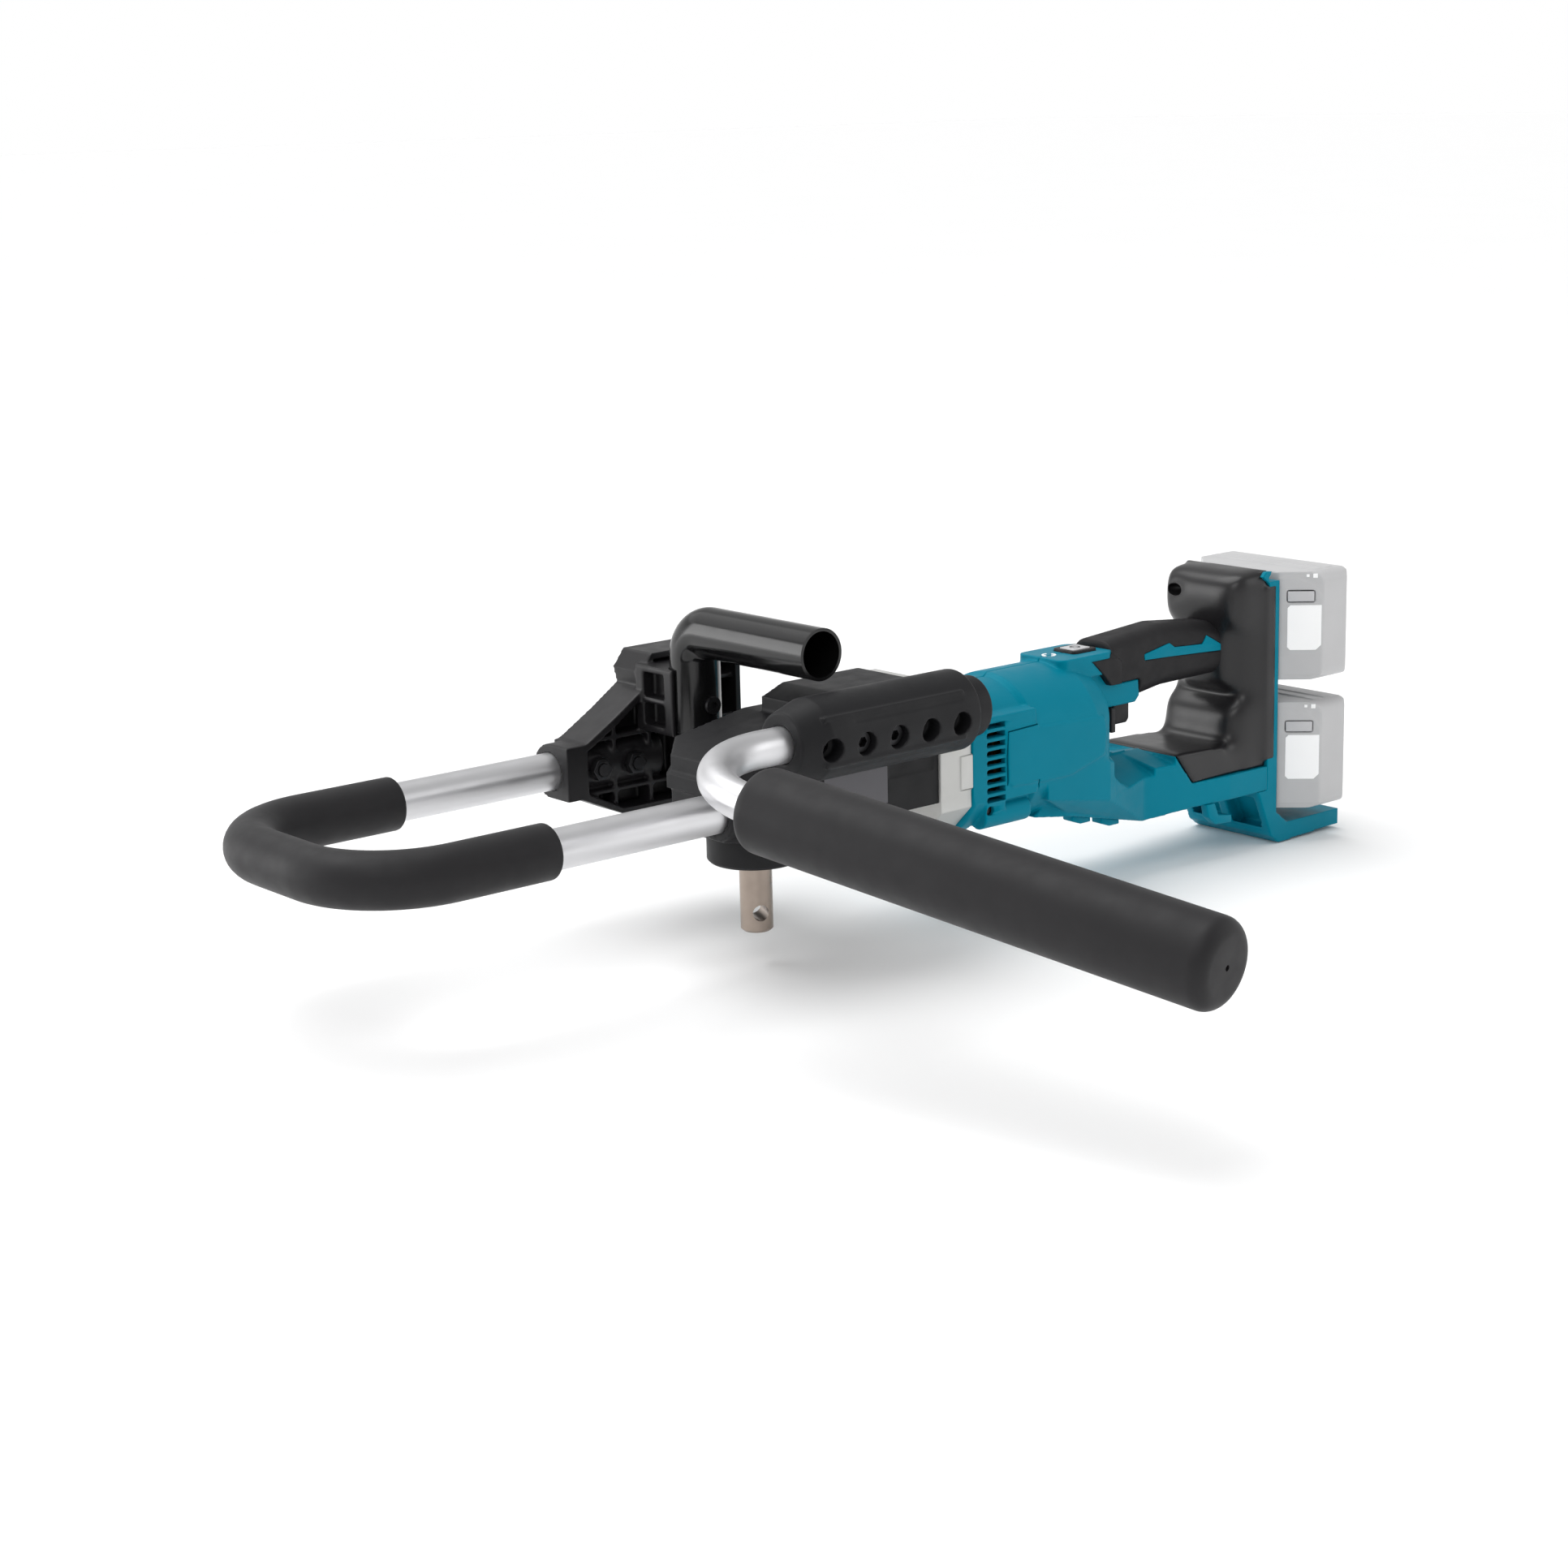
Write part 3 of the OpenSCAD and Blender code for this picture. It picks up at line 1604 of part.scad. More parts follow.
module reaction_bracket() {
    rib_half = rib_t / 2 - 0.5;
    color(black)
    difference() {
        union() {
            difference() {
                side_plate(bracket_points, bracket_near, bracket_far);
                side_plate(bracket_inner, bracket_near - 1, web_y);
                side_plate(bracket_inner, web_y + rib_t, bracket_far + 1);
            }
            intersection() {
                side_plate(bracket_points, bracket_near, bracket_far);
                union() {
                    for (x = [-10, 18, 44, 68])
                        span_box([x - rib_half, bracket_near + 4, 0], [x + rib_half, bracket_far - 4, 120]);
                    for (z = [24, 58, 84])
                        span_box([-60, bracket_near + 4, z - rib_half],
                                 [100, bracket_far - 4, z + rib_half]);
                }
            }
            translate([0, loop_far_y, loop_z]) {
                rod_x(clamp_r, clamp_x, clamp_x + clamp_len + 1);
                rod_x(tube_boss_r, clamp_x, far_end_x + 6);
            }
            span_box([clamp_x, bracket_near, loop_z - clamp_r],
                     [bracket_front + 1, loop_far_y, loop_z + clamp_r]);
            for (x = bracket_bolt_x)
                translate([x, 0, loop_z])
                    rod_y(nut_r + 1.5, bracket_nut_y, bracket_head_y);
            span_box([arm_tube_x - saddle_half, arm_tube_y, saddle_z[0]],
                     [arm_tube_x + saddle_half, bracket_near + 6, saddle_z[1]]);
            span_box([carrier_x[0], case_half_w, carrier_z[0]], [carrier_x[1], web_y, carrier_z[1]]);
        }
        translate([0, loop_far_y, loop_z])
            rod_x(loop_r + seat_gap, clamp_x - 1, far_end_x + 0.1);
        for (x = bracket_bolt_x)
            translate([x, 0, loop_z]) {
                rod_y(bolt_r, bracket_near - 10, bracket_far + 10);
                rod_y(nut_r + 1.5, bracket_near - 10, bracket_nut_y);
            }
        translate([arm_tube_x, arm_tube_y, 0])
            cylinder(r = arm_tube_d / 2 + seat_gap, h = 200);
        translate([arm_tube_x, 0, reaction_bolt_z])
            rod_y(3, arm_tube_y, bracket_near + 10);
        carrier_screw_places() {
            rod_y(3, case_half_w - 1, case_half_w + 14);
            rod_y(6, case_half_w + 12, web_y + 10);
        }
    }
}

module bracket_bolts() {
    head_h = 4;
    color(steel)
    for (x = bracket_bolt_x)
        translate([x, bracket_head_y + head_h, loop_z])
            rotate([-90, 0, 0])
                cap_screw(bolt_r - seat_gap, bolt_head_r, head_h, bracket_head_y - bracket_nut_y + nut_h + 1,
                          hex_socket_r);
}

module bracket_nuts() {
    color(steel)
    for (x = bracket_bolt_x)
        translate([x, bracket_nut_y, loop_z])
            rotate([90, 0, 0])
                difference() {
                    cylinder(r = nut_r, h = nut_h, $fn = 6);
                    translate([0, 0, -1])
                        cylinder(r = bolt_r, h = nut_h + 2);
                }
}

module arm_bolts() {
    color(steel)
    carrier_screw_places()
        translate([0, case_half_w + 12 + 6, 0])
            rotate([-90, 0, 0])
                cap_screw(2.95, 5.5, 6, 26, 2.6);
}

module reaction_tube() {
    r = arm_tube_d / 2;
    in_r = r - arm_tube_wall;
    color(black)
    difference() {
        union() {
            translate([arm_tube_x, arm_tube_y, arm_leg_end])
                difference() {
                    cylinder(r = r, h = arm_tube_z - arm_bend_r - arm_leg_end);
                    translate([0, 0, -1])
                        cylinder(r = in_r, h = arm_tube_z);
                }
            translate([arm_tube_x, arm_tube_y - arm_bend_r, arm_tube_z - arm_bend_r])
                rotate([90, 0, 90])
                    rotate_extrude(angle = 90)
                        translate([arm_bend_r, 0])
                            difference() {
                                circle(r = r);
                                circle(r = in_r);
                            }
            translate([arm_tube_x, 0, arm_tube_z])
                difference() {
                    rod_y(r, arm_tube_end, arm_tube_y - arm_bend_r);
                    rod_y(in_r, arm_tube_end - 1, arm_tube_y);
                }
        }
        translate([arm_tube_x, 0, reaction_bolt_z])
            rod_y(3, arm_tube_y - r - 5, arm_tube_y + r + 5);
    }
}

module reaction_bolt() {
    color(steel)
    translate([arm_tube_x, arm_tube_y - arm_tube_d / 2 - 2.2, reaction_bolt_z])
        rotate([90, 0, 0])
            cap_screw(2.9, 5.5, 2.2, arm_tube_d + 12, 2.6);
}

gear_case();
rear_casting();
nose_collar();
oil_seal();
spindle_bearings();
pinion_bearings();
bearing_spacer();
rotor_bearings();
spindle();
bevel_gear();
bevel_pinion();
spur_gear();
rotor_shaft();
rotor_core();
cooling_fan();
stator();
housing_left();
housing_right();
housing_screws();
case_screws();
control_panel();
power_button();
handle_grip();
handle_inserts();
trigger();
trigger_spring();
switch_module();
reversing_lever();
controller();
battery_shell();
battery_mount();
wrench_holder();
belly_hooks();
upper_terminal();
lower_terminal();
upper_pack();
lower_pack();
upper_release();
lower_release();
upper_label();
lower_label();
handle_holder();
holder_bolts();
side_tube();
side_tube_plug();
grip_core();
side_grip();
loop_tube();
loop_foam();
loop_screw();
reaction_bracket();
bracket_bolts();
bracket_nuts();
arm_bolts();
reaction_tube();
reaction_bolt();
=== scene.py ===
# %% [markdown]
# # A cordless earth auger, dressed in Blender
# The machine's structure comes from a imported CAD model. This lesson loads that model as a fixed frame,
# gives every piece a surface that behaves like the real material, and models the soft sleeves and the
# sculpted plastic that CAD keeps plain. All sizes are in metres, and the origin is on the spindle's axis.

# %% Load the frame
import json
import math
import bpy
from mathutils import Matrix, Vector


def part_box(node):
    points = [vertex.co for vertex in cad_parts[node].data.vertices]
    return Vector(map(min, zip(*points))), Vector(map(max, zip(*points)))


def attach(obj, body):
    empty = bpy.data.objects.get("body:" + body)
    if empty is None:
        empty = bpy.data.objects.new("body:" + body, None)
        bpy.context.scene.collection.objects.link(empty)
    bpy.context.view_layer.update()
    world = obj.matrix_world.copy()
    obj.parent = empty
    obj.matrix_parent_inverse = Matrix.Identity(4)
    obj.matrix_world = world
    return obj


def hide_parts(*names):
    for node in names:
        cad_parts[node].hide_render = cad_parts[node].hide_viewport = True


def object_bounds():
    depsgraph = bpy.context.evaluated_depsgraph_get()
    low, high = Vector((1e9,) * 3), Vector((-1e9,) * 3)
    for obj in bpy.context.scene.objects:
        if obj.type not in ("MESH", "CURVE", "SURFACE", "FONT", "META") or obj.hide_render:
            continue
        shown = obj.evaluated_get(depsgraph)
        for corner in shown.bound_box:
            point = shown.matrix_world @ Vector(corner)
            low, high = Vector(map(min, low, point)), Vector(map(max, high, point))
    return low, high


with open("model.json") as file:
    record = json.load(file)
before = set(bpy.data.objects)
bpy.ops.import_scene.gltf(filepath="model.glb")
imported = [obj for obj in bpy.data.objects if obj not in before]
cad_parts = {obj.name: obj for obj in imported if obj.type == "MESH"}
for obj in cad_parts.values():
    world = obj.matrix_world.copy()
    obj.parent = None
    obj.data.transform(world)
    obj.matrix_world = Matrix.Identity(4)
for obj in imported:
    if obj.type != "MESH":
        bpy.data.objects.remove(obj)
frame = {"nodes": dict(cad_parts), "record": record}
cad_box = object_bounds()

MM = 0.001
nodes = frame["nodes"]

# %% [markdown]
# ## Camera
# The picture's viewpoint was worked out once from straight edges of known size. The camera stands in
# front of the machine on the side grip's side, a little above it. It is fixed by three unit vectors, so
# nothing has to be aimed by hand. The picture is square.

# %% Camera
VIEW_PLACE = Vector((-1.070185, -1.317575, 0.452767))
VIEW_TURN = math.radians(-39.71)
VIEW_DOWN = math.radians(13.47)
VIEW_ROLL = math.radians(-1.46)
PICTURE_SIDE = 1932
FOCAL_PIXELS = 3577.97
SENSOR = 36.0

level = Vector((math.cos(VIEW_TURN), math.sin(VIEW_TURN), 0))
ahead = Vector((-math.sin(VIEW_TURN) * math.cos(VIEW_DOWN), math.cos(VIEW_TURN) * math.cos(VIEW_DOWN),
                -math.sin(VIEW_DOWN)))
above = level.cross(ahead)
right = math.cos(VIEW_ROLL) * level + math.sin(VIEW_ROLL) * above
up = -math.sin(VIEW_ROLL) * level + math.cos(VIEW_ROLL) * above
lens = bpy.data.cameras.new("studio_camera")
lens.sensor_width = SENSOR
lens.lens = FOCAL_PIXELS * SENSOR / PICTURE_SIDE
camera = bpy.data.objects.new("studio_camera", lens)
bpy.context.scene.collection.objects.link(camera)
turn = Matrix((right, up, -ahead)).transposed().to_4x4()
camera.matrix_world = Matrix.Translation(VIEW_PLACE) @ turn
bpy.context.scene.camera = camera
bpy.context.scene.view_settings.view_transform = "Standard"
print("lens", round(lens.lens, 2), "mm")

# %% [markdown]
# ## Small helpers
# An operator works on whatever is selected, and loading a model leaves its pieces selected. So each step
# first clears the selection and picks the one object that it means to change. A finished piece has its
# place in its mesh, so its turn and scale are applied.

# %% Picking and finishing a piece
def clear():
    if bpy.context.mode != "OBJECT":
        bpy.ops.object.mode_set(mode="OBJECT")
    bpy.ops.object.select_all(action="DESELECT")


def pick(obj):
    clear()
    obj.select_set(True)
    bpy.context.view_layer.objects.active = obj


def apply_all(obj):
    pick(obj)
    for modifier in list(obj.modifiers):
        bpy.ops.object.modifier_apply(modifier=modifier.name)


def named(name):
    obj = bpy.context.active_object
    obj.name = name
    pick(obj)
    bpy.ops.object.transform_apply(location=True, rotation=True, scale=True)
    return obj


def select_where(obj, test):
    pick(obj)
    bpy.context.tool_settings.mesh_select_mode = (True, False, False)
    for kind in (obj.data.polygons, obj.data.edges, obj.data.vertices):
        kind.foreach_set("select", [False] * len(kind))
    for vertex in obj.data.vertices:
        vertex.select = test(vertex.co)
    bpy.ops.object.mode_set(mode="EDIT")


def select_faces(obj, test):
    select_where(obj, lambda point: False)
    bpy.ops.object.mode_set(mode="OBJECT")
    bpy.context.tool_settings.mesh_select_mode = (False, False, True)
    for face in obj.data.polygons:
        face.select = test(face)
    bpy.ops.object.mode_set(mode="EDIT")


def seat(obj, body, slot, material, *stands_for):
    clear()
    obj.data.materials.clear()
    obj.data.materials.append(material)
    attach(obj, body)
    if stands_for:
        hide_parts(*stands_for)
    print(obj.name, len(obj.data.polygons), "faces")


# %% [markdown]
# ## Finishes
# A material starts from what the real one is made of. Each one below is built from nodes, with patterns
# in real millimetres on Object coordinates. One function adds a node with its settings and links, and
# another turns the sRGB colours that a designer writes into the linear values that the shader needs.

# %% Colour and node helpers
def colour(code):
    parts = [int(code[i:i + 2], 16) / 255 for i in (1, 3, 5)]
    return tuple(c / 12.92 if c <= 0.04045 else ((c + 0.055) / 1.055) ** 2.4 for c in parts) + (1.0,)


def add(material, kind, values=(), **settings):
    node = material.node_tree.nodes.new(kind)
    for name, value in settings.items():
        setattr(node, name, value)
    for name, value in dict(values).items():
        if isinstance(value, bpy.types.NodeSocket):
            material.node_tree.links.new(value, node.inputs[name])
        else:
            node.inputs[name].default_value = value
    return node


def grain_scale(size_mm):
    return 1 / (size_mm * MM)


# %% [markdown]
# A finish has three layers of detail: a slow drift of colour over some centimetres, a change of gloss
# over some millimetres, and a fine bump. The camera sees about half a millimetre per pixel, so grain
# that is finer than this is drawn about one and a half millimetres wide, as coarse as it needs to show.
# Each call gives the light and the dark colour, the size of the drift, the range of roughness, the size
# of the grain and the height of the bump.

# %% One recipe for surfaces with a grain
# A Mix node has a set of sockets for each kind of data: these are the colour ones.
MIX_COLOUR_A = 6
MIX_COLOUR_B = 7
MIX_COLOUR_OUT = 2
GRAINS_IN_PATCH = 8
NOISE_RANGE = (0.3, 0.7)


def grained(name, light, dark, drift_mm, gloss, grain_mm, bump_mm, **shader):
    material = bpy.data.materials.new(name)
    material.use_nodes = True
    material.node_tree.nodes.clear()
    place = add(material, "ShaderNodeTexCoord").outputs["Object"]
    drift = add(material, "ShaderNodeTexNoise",
                {"Vector": place, "Scale": grain_scale(drift_mm), "Detail": 3.0})
    tint = add(material, "ShaderNodeMix", {"Factor": drift.outputs["Fac"]}, data_type="RGBA")
    tint.inputs[MIX_COLOUR_A].default_value = colour(dark)
    tint.inputs[MIX_COLOUR_B].default_value = colour(light)
    patch = add(material, "ShaderNodeTexNoise",
                {"Vector": place, "Scale": grain_scale(GRAINS_IN_PATCH * grain_mm), "Detail": 4.0})
    shine = add(material, "ShaderNodeMapRange",
                {"Value": patch.outputs["Fac"], "From Min": NOISE_RANGE[0], "From Max": NOISE_RANGE[1],
                 "To Min": gloss[0], "To Max": gloss[1]})
    grain = add(material, "ShaderNodeTexNoise",
                {"Vector": place, "Scale": grain_scale(grain_mm), "Detail": 2.0, "Distortion": 1.5})
    bump = add(material, "ShaderNodeBump",
               {"Height": grain.outputs["Fac"], "Distance": bump_mm * MM, "Strength": 0.5})
    surface = add(material, "ShaderNodeBsdfPrincipled",
                  {"Base Color": tint.outputs[MIX_COLOUR_OUT], "Roughness": shine.outputs["Result"],
                   "Normal": bump.outputs["Normal"]})
    for socket, value in shader.items():
        surface.inputs[socket.replace("_", " ")].default_value = value
    add(material, "ShaderNodeOutputMaterial", {"Surface": surface.outputs["BSDF"]})
    return material


# %% [markdown]
# The metals differ mostly in how they were finished: coated, blasted, drawn, ground, turned or oxidised.
# A photographed texture could show that too, but a made one has no seams and no fixed size.

# %% Metals
# Die-cast aluminium under a satin black coat: a faint pebble and broad, soft lights along its edges.
black_coat = grained("satin_black_coat", "#1C1C1E", "#141416", 40, (0.44, 0.56), 1.6, 0.03, IOR=1.3)
# Bare die-cast aluminium, bead blasted: pale grey, matt, with a fine tooth.
bare_casting = grained("blasted_aluminium", "#C9C9C7", "#BBBBB8", 30, (0.45, 0.58), 1.6, 0.03, Metallic=0.6)
# Drawn aluminium tube with a clear anodised skin: bright, with long soft lights.
bright_tube = grained("anodised_aluminium", "#DEDEE0", "#D2D2D4", 60, (0.36, 0.42), 1.5, 0.004, Metallic=1.0)
# Ground alloy steel, slightly warm from its oil.
spindle_steel = grained("ground_steel", "#A89B90", "#8C8077", 14, (0.26, 0.38), 1.5, 0.012, Metallic=1.0)
# Gears, bearings and shafts, turned and oiled.
gear_steel = grained("turned_steel", "#B9B6B1", "#A19E99", 12, (0.25, 0.38), 1.5, 0.012, Metallic=1.0)
# Fasteners with a black oxide skin: dark metal that still flashes at an edge.
black_oxide = grained("black_oxide_steel", "#3A3A3C", "#28282A", 10, (0.30, 0.42), 1.5, 0.012, Metallic=0.8)
print("metals from", black_coat.name, "to", black_oxide.name)

# %% [markdown]
# The mouldings take the surface of their tool, so they are told apart by roughness more than by colour.
# The rubber and the foam are the dullest of them.

# %% Mouldings, rubber and foam
# Glass-filled nylon in teal, moulded in a finely eroded tool: even colour and a soft sheen.
teal_nylon = grained("teal_moulded_nylon", "#007A91", "#006F85", 60, (0.40, 0.50), 1.5, 0.02, IOR=1.34,
                     Specular_Tint=(0.03, 0.75, 0.9, 1.0))
# The same nylon in black, for the bracket, the panel, the small controls and the modules inside.
black_nylon = grained("black_moulded_nylon", "#1C1B1D", "#151416", 40, (0.36, 0.48), 1.5, 0.03, IOR=1.36)
# The battery cover's nylon, from a smoother tool: charcoal with a satin shine.
cover_nylon = grained("satin_cover_nylon", "#1A191B", "#131214", 40, (0.30, 0.36), 1.5, 0.003, IOR=1.46)
# Thermoplastic rubber moulded over the hand grip: deep black with a dry, broad sheen.
grip_rubber = grained("moulded_soft_rubber", "#1B1A1C", "#141315", 35, (0.50, 0.64), 1.4, 0.05, IOR=1.34)
# Closed-cell foam with a moulded skin: charcoal, matt, with a faint bloom at a low angle.
foam_skin = grained("closed_cell_foam", "#1E1D1F", "#181719", 28, (0.50, 0.60), 1.6, 0.004, IOR=1.33,
                    Sheen_Weight=0.03, Sheen_Roughness=0.5)
print("mouldings from", teal_nylon.name, "to", foam_skin.name)

# %% [markdown]
# The rest is the glossy tube, the motor's wire, the pale packs and buttons, and the films stuck on top.
# Then a table says which finish each material slot of the CAD model gets.

# %% Enamel, wire, packs and films
# Baked gloss enamel on steel tube: near black with sharp lights.
gloss_enamel = grained("gloss_black_enamel", "#101011", "#0B0B0C", 50, (0.14, 0.20), 1.8, 0.008, IOR=1.45)
# Enamelled copper wire.
copper_wire = grained("enamelled_copper", "#B87A45", "#8F5527", 4, (0.25, 0.4), 1.5, 0.05, Metallic=0.9)
# Pale polycarbonate of the packs: even grey with a clean shine.
pack_case = grained("pale_polycarbonate", "#BEBEBF", "#B4B4B5", 30, (0.28, 0.36), 1.6, 0.006, IOR=1.4)
# Blank coated paper.
label_film = grained("white_label_film", "#FFFFFF", "#FCFCFC", 20, (0.35, 0.45), 1.5, 0.005)
# Pale grey ABS of the push buttons.
grey_abs = grained("pale_grey_abs", "#C4C4C6", "#B8B8BA", 15, (0.40, 0.50), 1.5, 0.015)
# Brushed and lacquered aluminium foil of a blank rating plate.
plate_foil = grained("dark_plate_foil", "#59585C", "#4E4D51", 12, (0.38, 0.48), 1.5, 0.01, Metallic=0.2)
FINISH_OF_SLOT = {
    "coated_metal": black_coat, "bare_casting": bare_casting, "bright_tube": bright_tube,
    "steel": gear_steel, "dark_steel": black_oxide, "teal_plastic": teal_nylon,
    "black_plastic": black_nylon, "rubber": grip_rubber, "foam": foam_skin,
    "gloss_black_tube": gloss_enamel, "copper": copper_wire, "pack_plastic": pack_case,
    "white_label": label_film, "grey_plastic": grey_abs,
}
print("slots with a finish:", len(FINISH_OF_SLOT))

# %% [markdown]
# Each piece of the frame names a material slot, so a short loop dresses them all. Painting them one by
# one would do the same, but then a new piece could be forgotten. Of these only the spindle has a finish
# of its own, because it is ground and slightly warm in colour.

# %% Every CAD node gets the finish of its slot
slot_of_node = {part["node"]: part["material_slot"] for part in frame["record"]["subparts"]}
for name, obj in nodes.items():
    obj.data.materials.clear()
    obj.data.materials.append(FINISH_OF_SLOT[slot_of_node[name]])
nodes["spindle"].data.materials[0] = spindle_steel
print("dressed", len(nodes), "nodes")

# %% [markdown]
# ## Rounded copies of cast and moulded pieces
# A moulding has no truly sharp edge: the tool's corners are rounded, and those small rounds are what
# catches the light. On a piece with few, long edges a bevel does this. Each copy of a CAD node is first
# welded, because the node is loose triangles, and its flat faces are joined again.

# %% Bevelled copies
WELD = 0.002 * MM
FLAT_ANGLE = math.radians(0.5)
EDGE_ANGLE = math.radians(35)
EDGE_ROUNDS = {"nose_collar": 0.6, "control_panel": 0.4, "wrench_holder": 0.6, "belly_hooks": 0.8,
               "bracket_nuts": 0.4, "handle_inserts": 0.3}
MOVING_EDGE_ROUNDS = {"trigger": 1.5, "power_button": 0.4, "upper_release": 0.6, "lower_release": 0.6}


def welded_copy(node):
    obj = bpy.data.objects.new(node + "_shape", nodes[node].data.copy())
    bpy.context.scene.collection.objects.link(obj)
    pick(obj)
    bpy.ops.object.mode_set(mode="EDIT")
    bpy.ops.mesh.select_all(action="SELECT")
    bpy.ops.mesh.remove_doubles(threshold=WELD)
    bpy.ops.mesh.dissolve_limited(angle_limit=FLAT_ANGLE)
    bpy.ops.object.mode_set(mode="OBJECT")
    return obj


def bevelled(node, body, radius_mm, shape=None):
    obj = welded_copy(node)
    if shape:
        shape(obj)
    edge = obj.modifiers.new("tool radius", "BEVEL")
    edge.width = radius_mm * MM
    edge.segments = 3
    edge.limit_method = "ANGLE"
    edge.angle_limit = EDGE_ANGLE
    edge.use_clamp_overlap = False
    apply_all(obj)
    bpy.ops.object.shade_smooth_by_angle(angle=EDGE_ANGLE)
    slot = slot_of_node[node]
    seat(obj, body, slot, FINISH_OF_SLOT[slot], node)
    return obj


for node, radius in EDGE_ROUNDS.items():
    bevelled(node, "machine", radius)
# The hooks under the belly have the colour of the housing that they hang from.
bpy.data.objects["belly_hooks_shape"].data.materials[0] = teal_nylon
for node, radius in MOVING_EDGE_ROUNDS.items():
    bevelled(node, node, radius)

# %% [markdown]
# A casting with many holes and ribs has edges too short for a bevel. Its copy is turned into one skin of
# even cells and relaxed a few times, which rounds every edge alike. A place that needs a broad, soft
# blend is relaxed once more, with a weight that fades out at the edges of its zone: each edge is given as
# a place and the width of its fade, in millimetres. Then cells that flat faces don't need are taken out.

# %% Softened copies
RELAX = 0.5


def relax_near(obj, passes, weight):
    group = obj.vertex_groups.new(name="near")
    for vertex in obj.data.vertices:
        share = weight(vertex.co / MM)
        if share > 0:
            group.add([vertex.index], min(share, 1.0), "REPLACE")
    relax = obj.modifiers.new("blend", "SMOOTH")
    relax.factor = RELAX
    relax.iterations = passes
    relax.vertex_group = group.name
    apply_all(obj)


def zone_weight(point, front, rear, low, high=(1000, 1)):
    return min((point.x - front[0]) / front[1], (rear[0] - point.x) / rear[1],
               (point.z - low[0]) / low[1], (high[0] - point.z) / high[1])


def soften(obj, cell_mm, passes, share, keep=None, blend=None):
    skin = obj.modifiers.new("one skin", "REMESH")
    skin.mode = "VOXEL"
    skin.voxel_size = cell_mm * MM
    apply_all(obj)
    relax = obj.modifiers.new("round edges", "SMOOTH")
    relax.factor = RELAX
    relax.iterations = passes
    if keep:
        group = obj.vertex_groups.new(name="free")
        group.add([v.index for v in obj.data.vertices if not keep(v.co)], 1.0, "REPLACE")
        relax.vertex_group = "free"
    if blend:
        apply_all(obj)
        relax_near(obj, *blend)
    thin = obj.modifiers.new("fewer faces", "DECIMATE")
    thin.ratio = share
    apply_all(obj)
    bpy.ops.object.shade_smooth()


def softened(node, body, cell_mm, passes, share, keep=None, shape=None, blend=None):
    obj = welded_copy(node)
    if shape:
        shape(obj)
    soften(obj, cell_mm, passes, share, keep, blend)
    slot = slot_of_node[node]
    seat(obj, body, slot, FINISH_OF_SLOT[slot], node)
    return obj


# %% [markdown]
# Details are added with a few plain tools: a block, a flat outline extruded sideways, a rod, and a strip
# along a path. A boolean cuts a tool from a piece or joins it on, and then the tool is removed.

# %% Simple tools for cutting and joining
def block(low, high):
    clear()
    low, high = Vector(low) * MM, Vector(high) * MM
    bpy.ops.mesh.primitive_cube_add(size=1, location=(low + high) / 2, scale=high - low)
    return named("block")


def side_block(side, low, high):
    near, far = sorted((side * low[1], side * high[1]))
    return block((low[0], near, low[2]), (high[0], far, high[2]))


def carve(obj, tool, operation="DIFFERENCE"):
    cut = obj.modifiers.new("carve", "BOOLEAN")
    cut.operation = operation
    cut.object = tool
    cut.solver = "EXACT"
    apply_all(obj)
    bpy.data.objects.remove(tool)


def plate(points, start_y, end_y):
    clear()
    bpy.ops.mesh.primitive_circle_add(vertices=len(points), radius=MM, fill_type="NGON")
    obj = named("plate")
    for vertex, (x, z) in zip(obj.data.vertices, points):
        vertex.co = Vector((x, start_y, z)) * MM
    bpy.ops.object.mode_set(mode="EDIT")
    bpy.ops.mesh.select_mode(type="FACE")
    bpy.ops.mesh.select_all(action="SELECT")
    bpy.ops.mesh.extrude_region_move(TRANSFORM_OT_translate={"value": (0, (end_y - start_y) * MM, 0)})
    bpy.ops.mesh.select_all(action="SELECT")
    bpy.ops.mesh.normals_make_consistent(inside=False)
    bpy.ops.object.mode_set(mode="OBJECT")
    return obj


def rod_y(place, radius, start_y, end_y):
    clear()
    middle = Vector((place[0], (start_y + end_y) / 2, place[1])) * MM
    bpy.ops.mesh.primitive_cylinder_add(vertices=32, radius=radius * MM, depth=(end_y - start_y) * MM,
                                        location=middle, rotation=(math.pi / 2, 0, 0))
    return named("rod")


def strip(path, width):
    left, right = [], []
    for i, (x, z) in enumerate(path):
        before, after = path[max(i - 1, 0)], path[min(i + 1, len(path) - 1)]
        run = Vector((after[0] - before[0], after[1] - before[1])).normalized() * width / 2
        left.append((x - run.y, z + run.x))
        right.append((x + run.y, z - run.x))
    return left + right[::-1]


def joined(objects):
    pick(objects[0])
    for obj in objects:
        obj.select_set(True)
    bpy.ops.object.join()
    return objects[0]


# %% [markdown]
# ## Gear head, holder and bracket
# The gear case has a shallow step beside its rating plate, and two long beads stiffen the handle's holder
# above and below its holes. The clamp block of the bracket is moulded hollow, with a rib across its
# middle. Each of these could be drawn by moving faces, but plain cutters are easier to change, so all of
# that is cut or joined before the skin is made.

# %% Gear head, holder and bracket
CASE_STEP = ((71, -44, 44.1), (109, -41.3, 53))
BEADS = ((-79.7, 99.4), (-81.6, 72.5))
BEAD_X = (-12, 98)
BEAD_R = 1.8
CLAMP_POCKETS = (((7, 98, 64), (19, 119, 78.5)), ((7, 98, 82), (19, 119, 98)))


def case_step(obj):
    carve(obj, block(*CASE_STEP))


